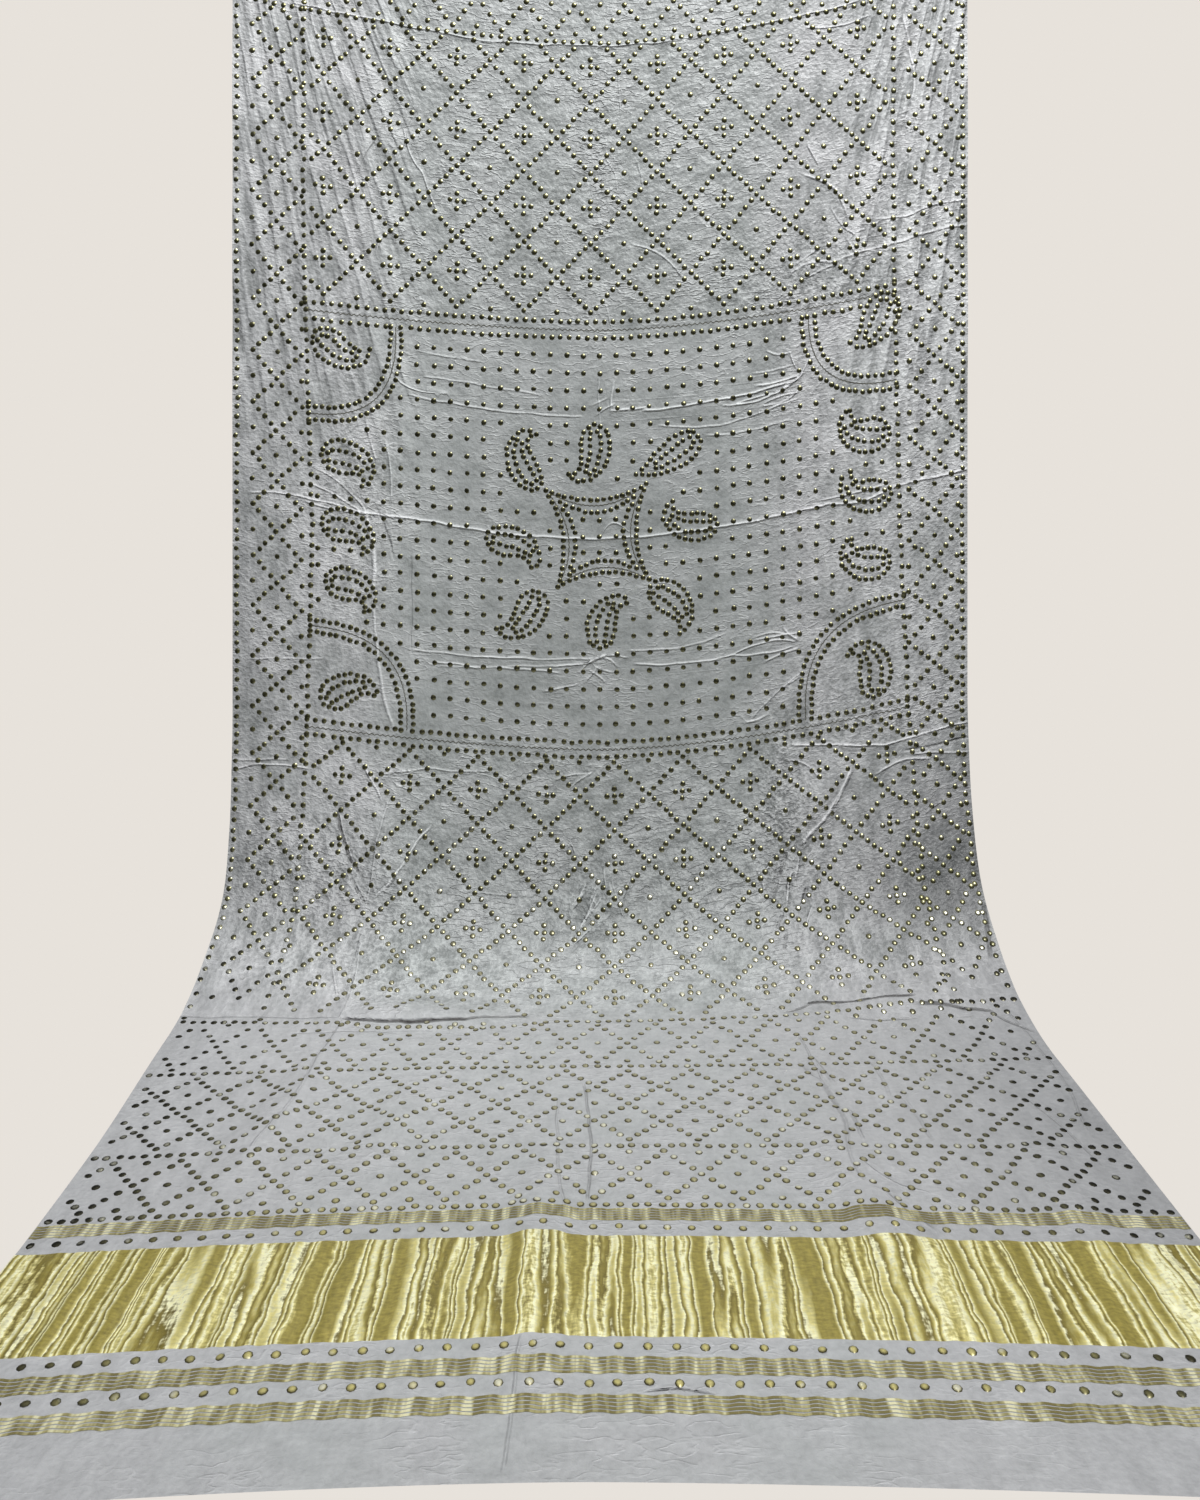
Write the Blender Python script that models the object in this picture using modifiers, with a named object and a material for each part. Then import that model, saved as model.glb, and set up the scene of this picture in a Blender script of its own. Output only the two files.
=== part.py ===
"""A bandhani cloth, a long one-piece wrap of satin, as it hangs on a wall and runs out over the floor.

The cloth is one sheet. It is held by its top corners, so its pattern lines sag in the middle. It leaves the
wall near the floor, turns, and lies on the floor with its end band towards the viewer.

Metres, +Z up. +X is to the right and -Y is out from the wall. The origin is the middle of the top edge.
"""

import bmesh
import bpy
import numpy as np

# Driving dimensions of the cloth itself
CLOTH_WIDTH = 0.950
HALF_LENGTH = 1.235  # from the medallion's middle to either end
THICKNESS = 0.0020
TOP_HEIGHT = 1.771  # the middle of the top edge above the floor

# How the cloth hangs, a row for each line across it, from the top edge to the floor end.
# along: distance along the cloth from the medallion's middle, towards the floor end.
# out: distance from the wall. high: height above the floor. Both at the middle, the left and the right edge.
HANG_COLUMNS = ("along", "mid_out", "mid_high", "left_out", "left_high", "right_out", "right_high")
HANG = (
    (-1.235, 0.000, 1.771, 0.000, 1.833, 0.000, 1.858),
    (-0.639, 0.000, 1.175, 0.000, 1.237, 0.000, 1.262),
    (-0.278, 0.000, 0.814, 0.000, 0.852, 0.000, 0.885),
    (0.265, 0.000, 0.271, 0.000, 0.314, 0.000, 0.344),
    (0.336, 0.005, 0.202, 0.003, 0.250, 0.004, 0.282),
    (0.425, 0.028, 0.122, 0.013, 0.160, 0.018, 0.196),
    (0.514, 0.072, 0.050, 0.042, 0.080, 0.050, 0.114),
    (0.603, 0.148, 0.006, 0.126, 0.024, 0.112, 0.048),
    (0.645, 0.194, 0.000, 0.192, 0.003, 0.170, 0.016),
    (0.742, 0.293, 0.000, 0.312, 0.000, 0.276, 0.000),
    (0.881, 0.435, 0.000, 0.456, 0.000, 0.438, 0.000),
    (0.967, 0.521, 0.000, 0.545, 0.000, 0.532, 0.000),
    (1.235, 0.790, 0.000, 0.816, 0.000, 0.806, 0.000),
)
EDGE_GROWTH = 1.6  # the power by which a line's rise grows from the middle to the side edges

# Where the two side edges and the middle line run, a row for each place along the cloth.
# The floor part has slid a little to the left in its middle and draws in along its left edge.
EDGE_COLUMNS = ("along", "left", "middle", "right")
EDGES = (
    (-1.235, -0.475, 0.000, 0.475),
    (0.514, -0.475, 0.000, 0.475),
    (0.645, -0.474, -0.002, 0.480),
    (0.881, -0.460, -0.005, 0.481),
    (1.235, -0.462, -0.008, 0.481),
)

# Soft ridges that stand off the wall or the floor, a row for each, from one end to the other.
# across and along are places on the cloth, high is the ridge's height and wide its full width.
RIDGE_COLUMNS = ("across_1", "along_1", "across_2", "along_2", "high", "wide")
RIDGES = (
    (-0.420, -1.200, -0.330, -0.620, 0.007, 0.085),  # pulled folds from the top left corner
    (-0.330, -1.180, -0.235, -0.700, 0.005, 0.080),
    (-0.375, -0.660, -0.350, -0.080, 0.004, 0.075),
    (0.425, -1.200, 0.390, -0.560, 0.007, 0.080),  # and from the top right corner
    (0.320, -1.180, 0.260, -0.760, 0.005, 0.080),
    (0.430, -0.560, 0.405, 0.030, 0.004, 0.075),
    (-0.300, 0.330, -0.255, 0.520, 0.006, 0.070),  # folds where the cloth leaves the wall
    (0.330, 0.290, 0.235, 0.450, 0.008, 0.075),
    (0.040, 0.380, 0.000, 0.540, 0.005, 0.070),
    (-0.330, 0.636, -0.085, 0.638, 0.009, 0.060),  # the small tucks at the foot
    (0.250, 0.640, 0.450, 0.634, 0.008, 0.060),
    (-0.285, 0.670, -0.335, 0.950, 0.006, 0.070),  # creases over the floor
    (-0.050, 0.830, -0.036, 1.215, 0.006, 0.080),
    (0.200, 0.770, 0.262, 1.150, 0.006, 0.080),
    (-0.180, 0.730, -0.215, 0.970, 0.004, 0.075),
    (0.400, 0.800, 0.390, 1.070, 0.004, 0.070),
)

# The sheet's own grid: even columns, and rows that are closer where the cloth turns.
COLUMNS = 30
ROW_RUNS = ((-1.235, 0.290, 30), (0.290, 0.700, 24), (0.700, 1.235, 22))  # from, to, rows

CLOTH_GREY = (0.47, 0.48, 0.53, 1.0)


def clear_scene():
    """Removes every object, mesh and material that the file opened with."""
    for item in list(bpy.data.objects):
        bpy.data.objects.remove(item)
    for store in (bpy.data.meshes, bpy.data.materials):
        for item in list(store):
            store.remove(item)


def column(table, names, name):
    """One named column of a table, as an array."""
    return np.array([row[names.index(name)] for row in table])


def smooth_step(value):
    """0 below 0, 1 above 1, and an even S curve between them."""
    held = np.clip(value, 0.0, 1.0)
    return held * held * (3.0 - 2.0 * held)


def smooth_curve(at, known, values):
    """A cubic curve through the known values, whose slope at each is the slope between its neighbours,
    and 0 where the values stop changing, so that a flat stretch stays flat."""
    steps = np.diff(values) / np.diff(known)
    slopes = np.concatenate(([steps[0]], (values[2:] - values[:-2]) / (known[2:] - known[:-2]), [steps[-1]]))
    flat = np.concatenate(([False], (steps[:-1] == 0.0) | (steps[1:] == 0.0), [False]))
    slopes[flat] = 0.0
    span = np.clip(np.searchsorted(known, at) - 1, 0, len(known) - 2)
    length = known[span + 1] - known[span]
    part = (at - known[span]) / length
    start = values[span] * (1 + 2 * part) * (1 - part) ** 2 + slopes[span] * length * part * (1 - part) ** 2
    end = values[span + 1] * part**2 * (3 - 2 * part) - slopes[span + 1] * length * part**2 * (1 - part)
    return start + end


def ridge_lift(across, along):
    """How far the ridges lift the cloth at each place: a rounded hump across each ridge that fades out
    towards its two ends, and nothing at all beyond its width."""
    lift = np.zeros(np.shape(across))
    for across_1, along_1, across_2, along_2, high, wide in RIDGES:
        run_across, run_along = across_2 - across_1, along_2 - along_1
        length = np.hypot(run_across, run_along)
        share = ((across - across_1) * run_across + (along - along_1) * run_along) / length**2
        aside = ((across - across_1) * run_along - (along - along_1) * run_across) / length
        hump = 1.0 - smooth_step(np.abs(aside) / (wide / 2))
        ends = 1.0 - smooth_step(np.abs(share - 0.5) * 2.0)
        lift += high * hump * ends
    return lift


def cloth_place(across, along):
    """Where a point of the flat cloth hangs: its side-to-side place, how far out it is and how high.
    The middle's and the edge's curves are mixed by how far the point is from the middle line."""
    known = column(HANG, HANG_COLUMNS, "along")
    aside = (np.abs(across) / (CLOTH_WIDTH / 2)) ** EDGE_GROWTH
    place = []
    for what in ("out", "high"):
        middle = smooth_curve(along, known, column(HANG, HANG_COLUMNS, f"mid_{what}"))
        left = smooth_curve(along, known, column(HANG, HANG_COLUMNS, f"left_{what}"))
        right = smooth_curve(along, known, column(HANG, HANG_COLUMNS, f"right_{what}"))
        edge = np.where(across < 0, left, right)
        place.append(np.maximum(middle + (edge - middle) * aside, 0.0))
    out, high = place
    edge_along = column(EDGES, EDGE_COLUMNS, "along")
    left, middle, right = (
        smooth_curve(along, edge_along, column(EDGES, EDGE_COLUMNS, name)) for name in EDGE_COLUMNS[1:]
    )
    share = across / (CLOTH_WIDTH / 2)
    bend = (left + right) / 2 - middle
    return middle + (right - left) / 2 * share + bend * share**2, out, high


def cloth_points(across, along):
    """The cloth's underside: its hung place, moved by the ridges along its own outward direction."""
    step = 0.004
    side, out, high = cloth_place(across, along)
    ahead, behind = np.minimum(along + step, HALF_LENGTH), np.maximum(along - step, -HALF_LENGTH)
    out_run = cloth_place(across, ahead)[1] - cloth_place(across, behind)[1]
    high_run = cloth_place(across, ahead)[2] - cloth_place(across, behind)[2]
    run = np.hypot(out_run, high_run)
    lift = ridge_lift(across, along)
    out = out - high_run / run * lift
    high = high + out_run / run * lift
    return np.stack((side, -out, high - TOP_HEIGHT), axis=-1)


def cloth_sheet():
    """The hung cloth: a grid whose points are moved to their places, thickened towards the viewer."""
    runs = [np.linspace(first, last, rows, endpoint=False) for first, last, rows in ROW_RUNS]
    rows_along = np.concatenate(runs + [[HALF_LENGTH]])
    columns_across = np.linspace(-CLOTH_WIDTH / 2, CLOTH_WIDTH / 2, COLUMNS + 1)
    shape = bmesh.new()
    bmesh.ops.create_grid(shape, x_segments=COLUMNS, y_segments=len(rows_along) - 1, size=0.5)
    shape.verts.ensure_lookup_table()
    grid = np.array([vertex.co for vertex in shape.verts])
    column_number = np.rint((grid[:, 0] + 0.5) * COLUMNS).astype(int)
    row_number = np.rint((grid[:, 1] + 0.5) * (len(rows_along) - 1)).astype(int)
    points = cloth_points(columns_across[column_number], rows_along[row_number])
    for vertex, point in zip(shape.verts, points):
        vertex.co = point
    bmesh.ops.recalc_face_normals(shape, faces=shape.faces)
    shape.faces.ensure_lookup_table()
    if shape.faces[0].normal.y > 0:
        bmesh.ops.reverse_faces(shape, faces=shape.faces)
    mesh = bpy.data.meshes.new("cloth")
    shape.to_mesh(mesh)
    shape.free()
    sheet = bpy.data.objects.new("cloth", mesh)
    thicken = sheet.modifiers.new("thickness", "SOLIDIFY")
    thicken.thickness = THICKNESS
    thicken.offset = 1.0
    return sheet


def satin():
    """Pale grey satin with a soft shine."""
    material = bpy.data.materials.new("grey_satin")
    material.use_nodes = True
    shader = material.node_tree.nodes["Principled BSDF"]
    shader.inputs["Base Color"].default_value = CLOTH_GREY
    shader.inputs["Roughness"].default_value = 0.55
    shader.inputs["Metallic"].default_value = 0.0
    return material


clear_scene()
collection = bpy.data.collections.new("bandhani_cloth")
bpy.context.scene.collection.children.link(collection)
cloth = cloth_sheet()
cloth.data.materials.append(satin())
cloth.data.shade_smooth()
collection.objects.link(cloth)
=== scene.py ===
"""A bandhani cloth, dressed: grey satin with woven gold bands and small domed dots in a tied-cloth pattern.

Metres, +Z up, in the frame of the solids: the origin is the middle of the top edge, +X is to the right and
-Y is out from the wall. Places on the flat cloth are "across" (left to right) and "along" (from the
medallion's middle, positive towards the floor end).
"""

import bpy
import numpy as np
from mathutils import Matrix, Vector
from mathutils.kdtree import KDTree


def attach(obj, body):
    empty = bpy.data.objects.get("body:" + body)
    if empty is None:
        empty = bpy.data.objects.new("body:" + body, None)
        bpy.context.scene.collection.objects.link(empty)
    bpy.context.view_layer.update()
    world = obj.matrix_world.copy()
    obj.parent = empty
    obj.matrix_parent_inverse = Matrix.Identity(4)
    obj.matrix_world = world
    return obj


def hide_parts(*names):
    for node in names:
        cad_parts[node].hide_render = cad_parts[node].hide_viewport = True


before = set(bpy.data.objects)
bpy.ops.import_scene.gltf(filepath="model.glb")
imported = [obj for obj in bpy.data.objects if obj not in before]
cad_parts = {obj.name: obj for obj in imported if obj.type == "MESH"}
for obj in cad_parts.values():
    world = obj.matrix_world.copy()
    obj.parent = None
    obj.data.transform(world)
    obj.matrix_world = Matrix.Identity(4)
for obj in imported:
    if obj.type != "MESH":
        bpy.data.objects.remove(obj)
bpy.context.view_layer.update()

# ---------------------------------------------------------------------------------------------------------
# The satin. One loom width of pale grey satin, hung by its top corners so that the pattern lines sag. It
# leaves the wall above the floor, turns, and lies on the floor. Two wide bands are woven in gold thread.

CLOTH_WIDTH = 0.950
HALF_LENGTH = 1.235
TOP_HEIGHT = 1.771  # of the middle of the top edge above the floor
SHEET_REST = 0.0008  # the thin sheet's middle above the wall or floor
SHEET_LOWEST = -0.0004  # the most that all folds together may take from that

# How the cloth hangs, a row for each line across it. out: from the wall. high: above the floor.
HANG_COLUMNS = ("along", "mid_out", "mid_high", "left_out", "left_high", "right_out", "right_high")
HANG = (
    (-1.235, 0.000, 1.771, 0.000, 1.833, 0.000, 1.858),
    (-0.639, 0.000, 1.175, 0.000, 1.237, 0.000, 1.262),
    (-0.278, 0.000, 0.814, 0.000, 0.852, 0.000, 0.885),
    (0.265, 0.000, 0.271, 0.000, 0.314, 0.000, 0.344),
    (0.336, 0.005, 0.202, 0.003, 0.250, 0.004, 0.282),
    (0.425, 0.028, 0.122, 0.013, 0.160, 0.018, 0.196),
    (0.514, 0.072, 0.050, 0.042, 0.080, 0.050, 0.114),
    (0.603, 0.148, 0.006, 0.126, 0.024, 0.112, 0.048),
    (0.645, 0.194, 0.000, 0.192, 0.003, 0.170, 0.016),
    (0.742, 0.293, 0.000, 0.312, 0.000, 0.276, 0.000),
    (0.881, 0.435, 0.000, 0.456, 0.000, 0.438, 0.000),
    (0.967, 0.521, 0.000, 0.545, 0.000, 0.532, 0.000),
    (1.235, 0.790, 0.000, 0.816, 0.000, 0.806, 0.000),
)
EDGE_GROWTH = 1.6  # the power by which a line's rise grows from the middle to the side edges
EDGE_COLUMNS = ("along", "left", "middle", "right")
EDGES = (
    (-1.235, -0.475, 0.000, 0.475),
    (0.514, -0.475, 0.000, 0.475),
    (0.645, -0.474, -0.002, 0.480),
    (0.881, -0.460, -0.005, 0.481),
    (1.235, -0.462, -0.008, 0.481),
)

# Soft folds in the cloth, a row for each, from one end to the other on the flat cloth. high: in millimetres
# off the wall or floor. wide: full width in millimetres.
FOLD_COLUMNS = ("across_1", "along_1", "across_2", "along_2", "high", "wide")
SOFT_FOLDS = (
    (-0.420, -1.200, -0.330, -0.620, 7.0, 85),  # pulled folds from the top left corner
    (-0.330, -1.180, -0.235, -0.700, 5.0, 80),
    (-0.375, -0.660, -0.350, -0.080, 4.0, 75),
    (0.425, -1.200, 0.390, -0.560, 7.0, 80),  # and from the top right corner
    (0.320, -1.180, 0.260, -0.760, 5.0, 80),
    (0.430, -0.560, 0.405, 0.030, 4.0, 75),
    (-0.300, 0.330, -0.255, 0.520, 6.0, 70),  # folds where the cloth leaves the wall
    (0.330, 0.290, 0.235, 0.450, 8.0, 75),
    (0.040, 0.380, 0.000, 0.540, 5.0, 70),
    (-0.330, 0.636, -0.085, 0.638, 9.0, 60),  # the small tucks at the foot
    (0.250, 0.640, 0.450, 0.634, 8.0, 60),
    (-0.285, 0.670, -0.335, 0.950, 6.0, 70),  # creases over the floor
    (-0.050, 0.830, -0.036, 1.215, 6.0, 80),
    (0.200, 0.770, 0.262, 1.150, 6.0, 80),
    (-0.180, 0.730, -0.215, 0.970, 4.0, 75),
    (0.400, 0.800, 0.390, 1.070, 4.0, 70),
)

# Sharp creases, all in millimetres. bow: how far the middle of the crease lies to one side of the straight
# line between its ends. high: below 0 for a trough. The creases were read by eye in the photograph, in
# pixels, and a separate script worked out nearly all of these ends, and most bows, on the flat cloth.
CREASE_COLUMNS = ("across_1", "along_1", "across_2", "along_2", "bow", "high", "wide")
SHARP_CREASES = (
    (-392, -644, -145, -632, 2, 1.2, 5), (-145, -632, 67, -635, 2, 1.2, 5), (67, -635, 199, -641, 0, 1.2, 5),
    (199, -641, 334, -644, -1, 1.2, 5), (-253, -507, -230, -456, -4, 1.3, 5),
    (-230, -456, -212, -413, 0, 1.3, 5), (-280, -506, -316, -438, -2, -1.0, 5),
    (-236, -534, -248, -510, 0, -0.8, 5), (-266, -380, -289, -350, -6, 1.2, 5),
    (268, -624, 347, -621, -4, 1.1, 5), (391, -609, 401, -558, 2, 1.2, 6), (401, -558, 401, -501, 6, 1.2, 6),
    (269, -476, 283, -446, 0, 1.2, 5), (263, -438, 304, -413, 3, 1.4, 6), (304, -413, 320, -378, 1, 1.4, 6),
    (299, -389, 329, -351, -3, 0.9, 5), (359, -365, 407, -362, -3, 1.1, 5),
    (407, -362, 472, -363, 4, 1.1, 5), (245, -315, 298, -321, 7, 1.0, 6), (298, -321, 389, -330, 2, 1.0, 6),
    (389, -330, 473, -333, 2, 1.0, 6), (254, -326, 284, -344, 0, 1.0, 5), (265, -308, 304, -317, 0, 1.0, 5),
    (320, -345, 331, -324, 0, 1.0, 5), (43, -377, 106, -330, 8, 1.1, 5), (25, -599, 26, -546, 0, 0.8, 5),
    (7, -491, 23, -444, 4, 0.9, 5), (49, -482, 56, -449, 0, 0.8, 5), (58, -161, 169, -167, 0, 2.0, 6),
    (169, -167, 248, -176, 0, 2.0, 6), (161, -159, 262, -185, -12, 1.6, 5),
    (200, -194, 248, -197, 0, 0.9, 5), (209, -152, 262, -168, -7, 1.1, 5),
    (77, -141, 230, -149, -11, 0.8, 5), (137, -123, 245, -129, -5, 0.7, 5),
    (-451, -24, -374, -24, 3, 1.2, 5), (-374, -24, -308, -12, 2, 1.2, 5), (-308, -12, -190, -6, 3, 1.6, 6),
    (-190, -6, -85, 1, -1, 1.6, 6), (-85, 1, 88, 0, -1, 1.6, 6), (88, 0, 169, -3, 0, 1.6, 6),
    (169, -3, 293, -11, -1, 1.6, 6), (293, -11, 383, -17, -7, 1.3, 6), (383, -17, 473, -18, 1, 1.3, 6),
    (286, -18, 368, -21, -1, 1.1, 5), (1, 0, 37, -6, 15, 0.9, 5), (-379, -20, -308, -12, -2, 1.0, 5),
    (-305, -14, -292, 73, 6, 1.7, 10), (-292, 73, -289, 147, -2, 1.1, 7), (-289, 147, -268, 262, -4, 1.2, 8),
    (-287, -14, -268, 39, 3, -1.2, 6), (-244, 37, -244, 162, 0, -0.7, 4),
    (-260, -260, -197, -177, -43, 1.3, 5), (-244, -171, -26, -156, -4, 0.9, 5),
    (-226, -197, -77, -182, 1, 0.7, 5), (-233, -228, -155, -221, 0, 0.6, 5),
    (-374, -44, -305, -12, 3, 1.0, 5), (-364, -63, -302, -15, 6, 0.8, 5),
    (-301, -132, -290, -83, -1, 1.2, 6), (-278, -110, -269, -33, 3, 0.9, 6),
    (-452, 195, -359, 183, 0, 0.6, 5), (-244, 159, 4, 156, -3, 0.9, 5), (-205, 178, -26, 165, 0, 0.7, 5),
    (-26, 174, 34, 156, 11, 1.2, 5), (-19, 187, -4, 169, 0, 0.9, 5), (47, 165, 172, 166, -4, 1.5, 5),
    (172, 166, 251, 160, 8, 1.5, 5), (37, 147, 161, 138, -6, 0.8, 5), (169, 166, 248, 166, -4, 1.2, 5),
    (199, 148, 256, 157, 7, 0.9, 5), (196, 252, 256, 207, 3, 0.9, 5), (248, 295, 368, 322, 1, 1.7, 6),
    (368, 322, 473, 318, 2, 1.7, 6), (406, 343, 472, 358, 0, 1.3, 5), (394, 337, 472, 340, 0, -1.6, 6),
    (356, 357, 422, 354, 7, 1.5, 6), (322, 346, 295, 391, 2, 2.2, 9), (295, 391, 257, 427, 1, 2.2, 9),
    (308, 372, 299, 388, 0, -1.2, 5), (188, 412, 203, 442, 0, 0.9, 5), (241, 315, 281, 345, 6, 1.1, 5),
    (-473, 349, -379, 333, 6, 1.3, 5), (-473, 336, -404, 325, 0, 0.8, 5), (-305, 318, -281, 361, 0, 2.0, 6),
    (-277, 324, -223, 312, -2, 0.9, 5), (-223, 312, -140, 310, -2, 0.9, 5),
    (-338, 385, -304, 459, -4, -2.4, 7), (-319, 457, -293, 496, -1, -1.5, 6),
    (-218, 390, -248, 436, -2, 1.7, 6), (-248, 436, -281, 484, 1, 1.4, 6), (-272, 360, -286, 418, 0, 0.8, 5),
    (-295, 529, -299, 585, 0, -0.8, 5), (-56, 315, -13, 306, 2, 1.1, 5), (-38, 325, -10, 303, 1, 1.1, 5),
    (5, 430, 8, 453, 0, 1.0, 5), (-20, 460, -34, 480, 0, 1.3, 6), (-5, 451, -14, 475, 0, 1.1, 5),
    (2, 466, -32, 523, -2, 1.0, 5), (14, 445, 28, 489, 1, 0.9, 5), (38, 441, 28, 471, 0, 0.8, 5),
    (-475, 643, -295, 642, 1, -1.0, 4), (-288, 644, -212, 653, -1, -3.0, 6),
    (-216, 653, -150, 647, 0, -3.4, 7), (-152, 646, -82, 634, 2, -2.4, 6),
    (-338, 670, -226, 669, 4, -0.8, 4), (-280, 328, -246, 318, 0, 0.9, 5), (-264, 338, -244, 344, 0, 1.0, 5),
    (-38, 396, -32, 412, 0, 1.0, 5), (-164, 468, -98, 470, 2, 0.8, 5), (-334, 386, -308, 452, -3, 1.2, 5),
    (-270, 476, -256, 450, 0, 1.3, 6), (-284, 426, -292, 490, 0, 0.9, 5), (-4, 460, -24, 502, 2, 1.4, 5),
    (-12, 508, -30, 526, 0, 1.2, 5), (-18, 450, -36, 478, 1, 1.2, 5), (250, 440, 246, 470, 1, 1.4, 6),
    (242, 460, 232, 500, -1, 1.6, 6), (236, 432, 226, 462, 1, -1.8, 7), (224, 468, 212, 498, 1, -1.4, 7),
    (258, 482, 252, 504, 0, -1.6, 6), (216, 444, 202, 464, 0, 1.1, 5), (226, 510, 216, 530, 0, -1.5, 6),
    (198, 450, 206, 476, 1, 1.0, 5), (228, 536, 220, 566, 0, -1.2, 6), (268, 438, 256, 452, 0, 1.2, 5),
    (416, 422, 436, 412, 0, 1.0, 5), (264, 506, 254, 530, 0, 1.0, 5), (212, 638, 240, 630, -2, -1.8, 4),
    (238, 630, 300, 634, 1, -3.0, 4), (298, 632, 356, 636, -1, -3.0, 4), (360, 646, 410, 654, 2, -2.6, 6),
    (406, 654, 436, 658, 0, -2.6, 6), (436, 658, 470, 694, -2, -1.6, 5), (280, 656, 350, 664, -3, -1.2, 4),
    (210, 736, 228, 772, -2, -1.1, 6), (228, 772, 234, 816, -2, -1.4, 7), (234, 816, 232, 868, 3, -1.1, 6),
    (232, 868, 232, 938, -3, -0.8, 5), (224, 730, 238, 778, 0, 1.4, 6), (244, 826, 246, 870, 0, 1.2, 5),
    (282, 736, 288, 800, 3, -0.8, 5), (300, 808, 308, 870, 2, -0.8, 5), (-292, 546, -292, 646, 3, 0.7, 5),
    (-290, 650, -300, 756, -3, -1.0, 5), (-300, 756, -306, 822, 2, 0.8, 5),
    (-306, 822, -322, 880, -2, 0.8, 5), (42, 1164, 60, 1162, 0, -2.2, 3), (60, 1162, 80, 1164, 0, -2.2, 3),
    (-324, 570, -302, 618, 0, 0.8, 5), (472, 548, 460, 610, 2, -1.6, 7), (-50, 1120, -52, 1225, 0, 0.8, 4),
    (217, 682, 229, 780, 1, 0.9, 4), (238, 907, 281, 945, -8, 0.9, 4), (-37, 804, -25, 973, -3, 0.8, 4),
    (-13, 777, -5, 960, 5, -1.2, 4), (454, 658, 451, 855, 13, 0.8, 4), (419, 810, 442, 904, 2, -0.8, 4),
    (247, 951, 272, 993, -3, 1.2, 6), (1, 210, 1, 262, 0, 0.5, 5), (-2, -216, 1, -126, 0, 0.7, 5),
    (5, -308, 16, -269, 0, 0.7, 5), (16, -163, 58, -165, 0, 1.8, 6), (203, -179, 255, -183, -2, 1.8, 6),
    (175, -158, 230, -165, 2, 1.3, 5), (230, -165, 257, -179, 2, 1.5, 5), (213, -154, 254, -161, 2, 1.2, 5),
    (221, -147, 255, -153, 0, 1.0, 5), (259, -182, 268, -199, 0, 1.4, 5), (217, -221, 246, -214, -3, 1.2, 5),
    (246, -214, 257, -189, -2, 1.3, 5), (-3, -158, 17, -171, 2, 1.2, 5), (-9, -171, 8, -180, 0, 1.0, 5),
    (18, -198, 14, -164, 0, 1.2, 6), (-162, 161, -94, 159, 0, 1.3, 5), (-129, 174, -52, 177, 2, 1.1, 5),
    (-71, 201, -30, 190, -1, 1.3, 5), (-212, 173, -158, 176, 2, 1.2, 5), (-21, 164, 5, 152, -2, 1.5, 5),
    (-13, 173, 6, 187, 2, 1.4, 5), (-4, 169, 16, 174, 0, 1.3, 5), (5, 156, 21, 167, 2, 1.5, 5),
    (-57, 169, -13, 161, 0, 1.2, 5), (239, 141, 256, 159, -2, 1.5, 5), (203, 151, 255, 151, 2, 1.3, 5),
    (213, 181, 255, 170, 2, 1.4, 6), (237, 216, 259, 203, 0, 1.3, 5), (188, 256, 213, 251, -2, 1.6, 6),
)
CREASE_MESH_WIDE = 10.0  # a crease is no narrower than this in the mesh; its sharp line is in the finish
CREASE_MESH_SHARE = 0.55  # of a crease's height is in the mesh
CREASE_WANDER = 0.0008  # how far it strays from its bowed line
CREASE_END = 0.012  # the length over which a crease dies out at each end
CREASE_APART = 0.030  # the least distance between two creases of one set
CREASE_REACH = 0.009  # how far beside a crease the finish still knows it

# The woven bands and lines at each end are placed by their distance beyond the first dotted line there.
TOP_LINE, FLOOR_LINE = -0.639, 0.645
FIRST_LINES = ((1, FLOOR_LINE), (-1, -TOP_LINE))  # which way the end lies, and how far its first line is
GOLD_BAND = (0.362, 0.471)
PUCKER = 0.0009  # how high a gold band's small folds are
PUCKER_OVERLAP, PUCKER_EDGE = 0.004, 0.010  # how far they pass the band's edges, and over what they rise

# The fine pulled ripples down each side, which fan out from a place above and beyond the top corner.
# inward: how near the middle line they reach. fade: where along the cloth they begin and cease to die out.
RIPPLE_COLUMNS = ("side", "from_across", "from_along", "spacing", "high", "inward", "fade_from", "fade_to")
RIPPLES = (
    (-1, -0.62, -1.32, 0.0150, 0.0021, 0.205, -0.26, 0.05),
    (1, 0.60, -1.32, 0.0150, 0.0030, 0.300, -0.20, 0.12),
)
RIPPLE_EDGE = 0.06  # the width over which they rise from nothing at their inner side
RIPPLE_START = (0.45, 0.65)  # how far from where they fan out they begin, and are full
RIPPLE_MESH_SHARE = 0.40  # of their height is in the mesh

# The turned hems: how wide, and how far they stand proud.
END_HEM = (0.010, 0.0006)
SIDE_HEM = (0.005, 0.0004)
HEM_STEP = 0.0015  # the width over which a hem stops


def column(table, names, name):
    """One named column of a table, as an array."""
    return np.array([row[names.index(name)] for row in table])


def smooth_step(value):
    """0 below 0, 1 above 1, and an even S curve between them."""
    held = np.clip(value, 0.0, 1.0)
    return held * held * (3.0 - 2.0 * held)


def smooth_curve(at, known, values):
    """A cubic curve through the known values, whose slope at each is the slope between its neighbours,
    and 0 where the values stop changing, so that a flat stretch stays flat."""
    steps = np.diff(values) / np.diff(known)
    slopes = np.concatenate(([steps[0]], (values[2:] - values[:-2]) / (known[2:] - known[:-2]), [steps[-1]]))
    flat = np.concatenate(([False], (steps[:-1] == 0.0) | (steps[1:] == 0.0), [False]))
    slopes[flat] = 0.0
    span = np.clip(np.searchsorted(known, at) - 1, 0, len(known) - 2)
    length = known[span + 1] - known[span]
    part = (at - known[span]) / length
    start = values[span] * (1 + 2 * part) * (1 - part) ** 2 + slopes[span] * length * part * (1 - part) ** 2
    end = values[span + 1] * part**2 * (3 - 2 * part) - slopes[span + 1] * length * part**2 * (1 - part)
    return start + end


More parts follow.
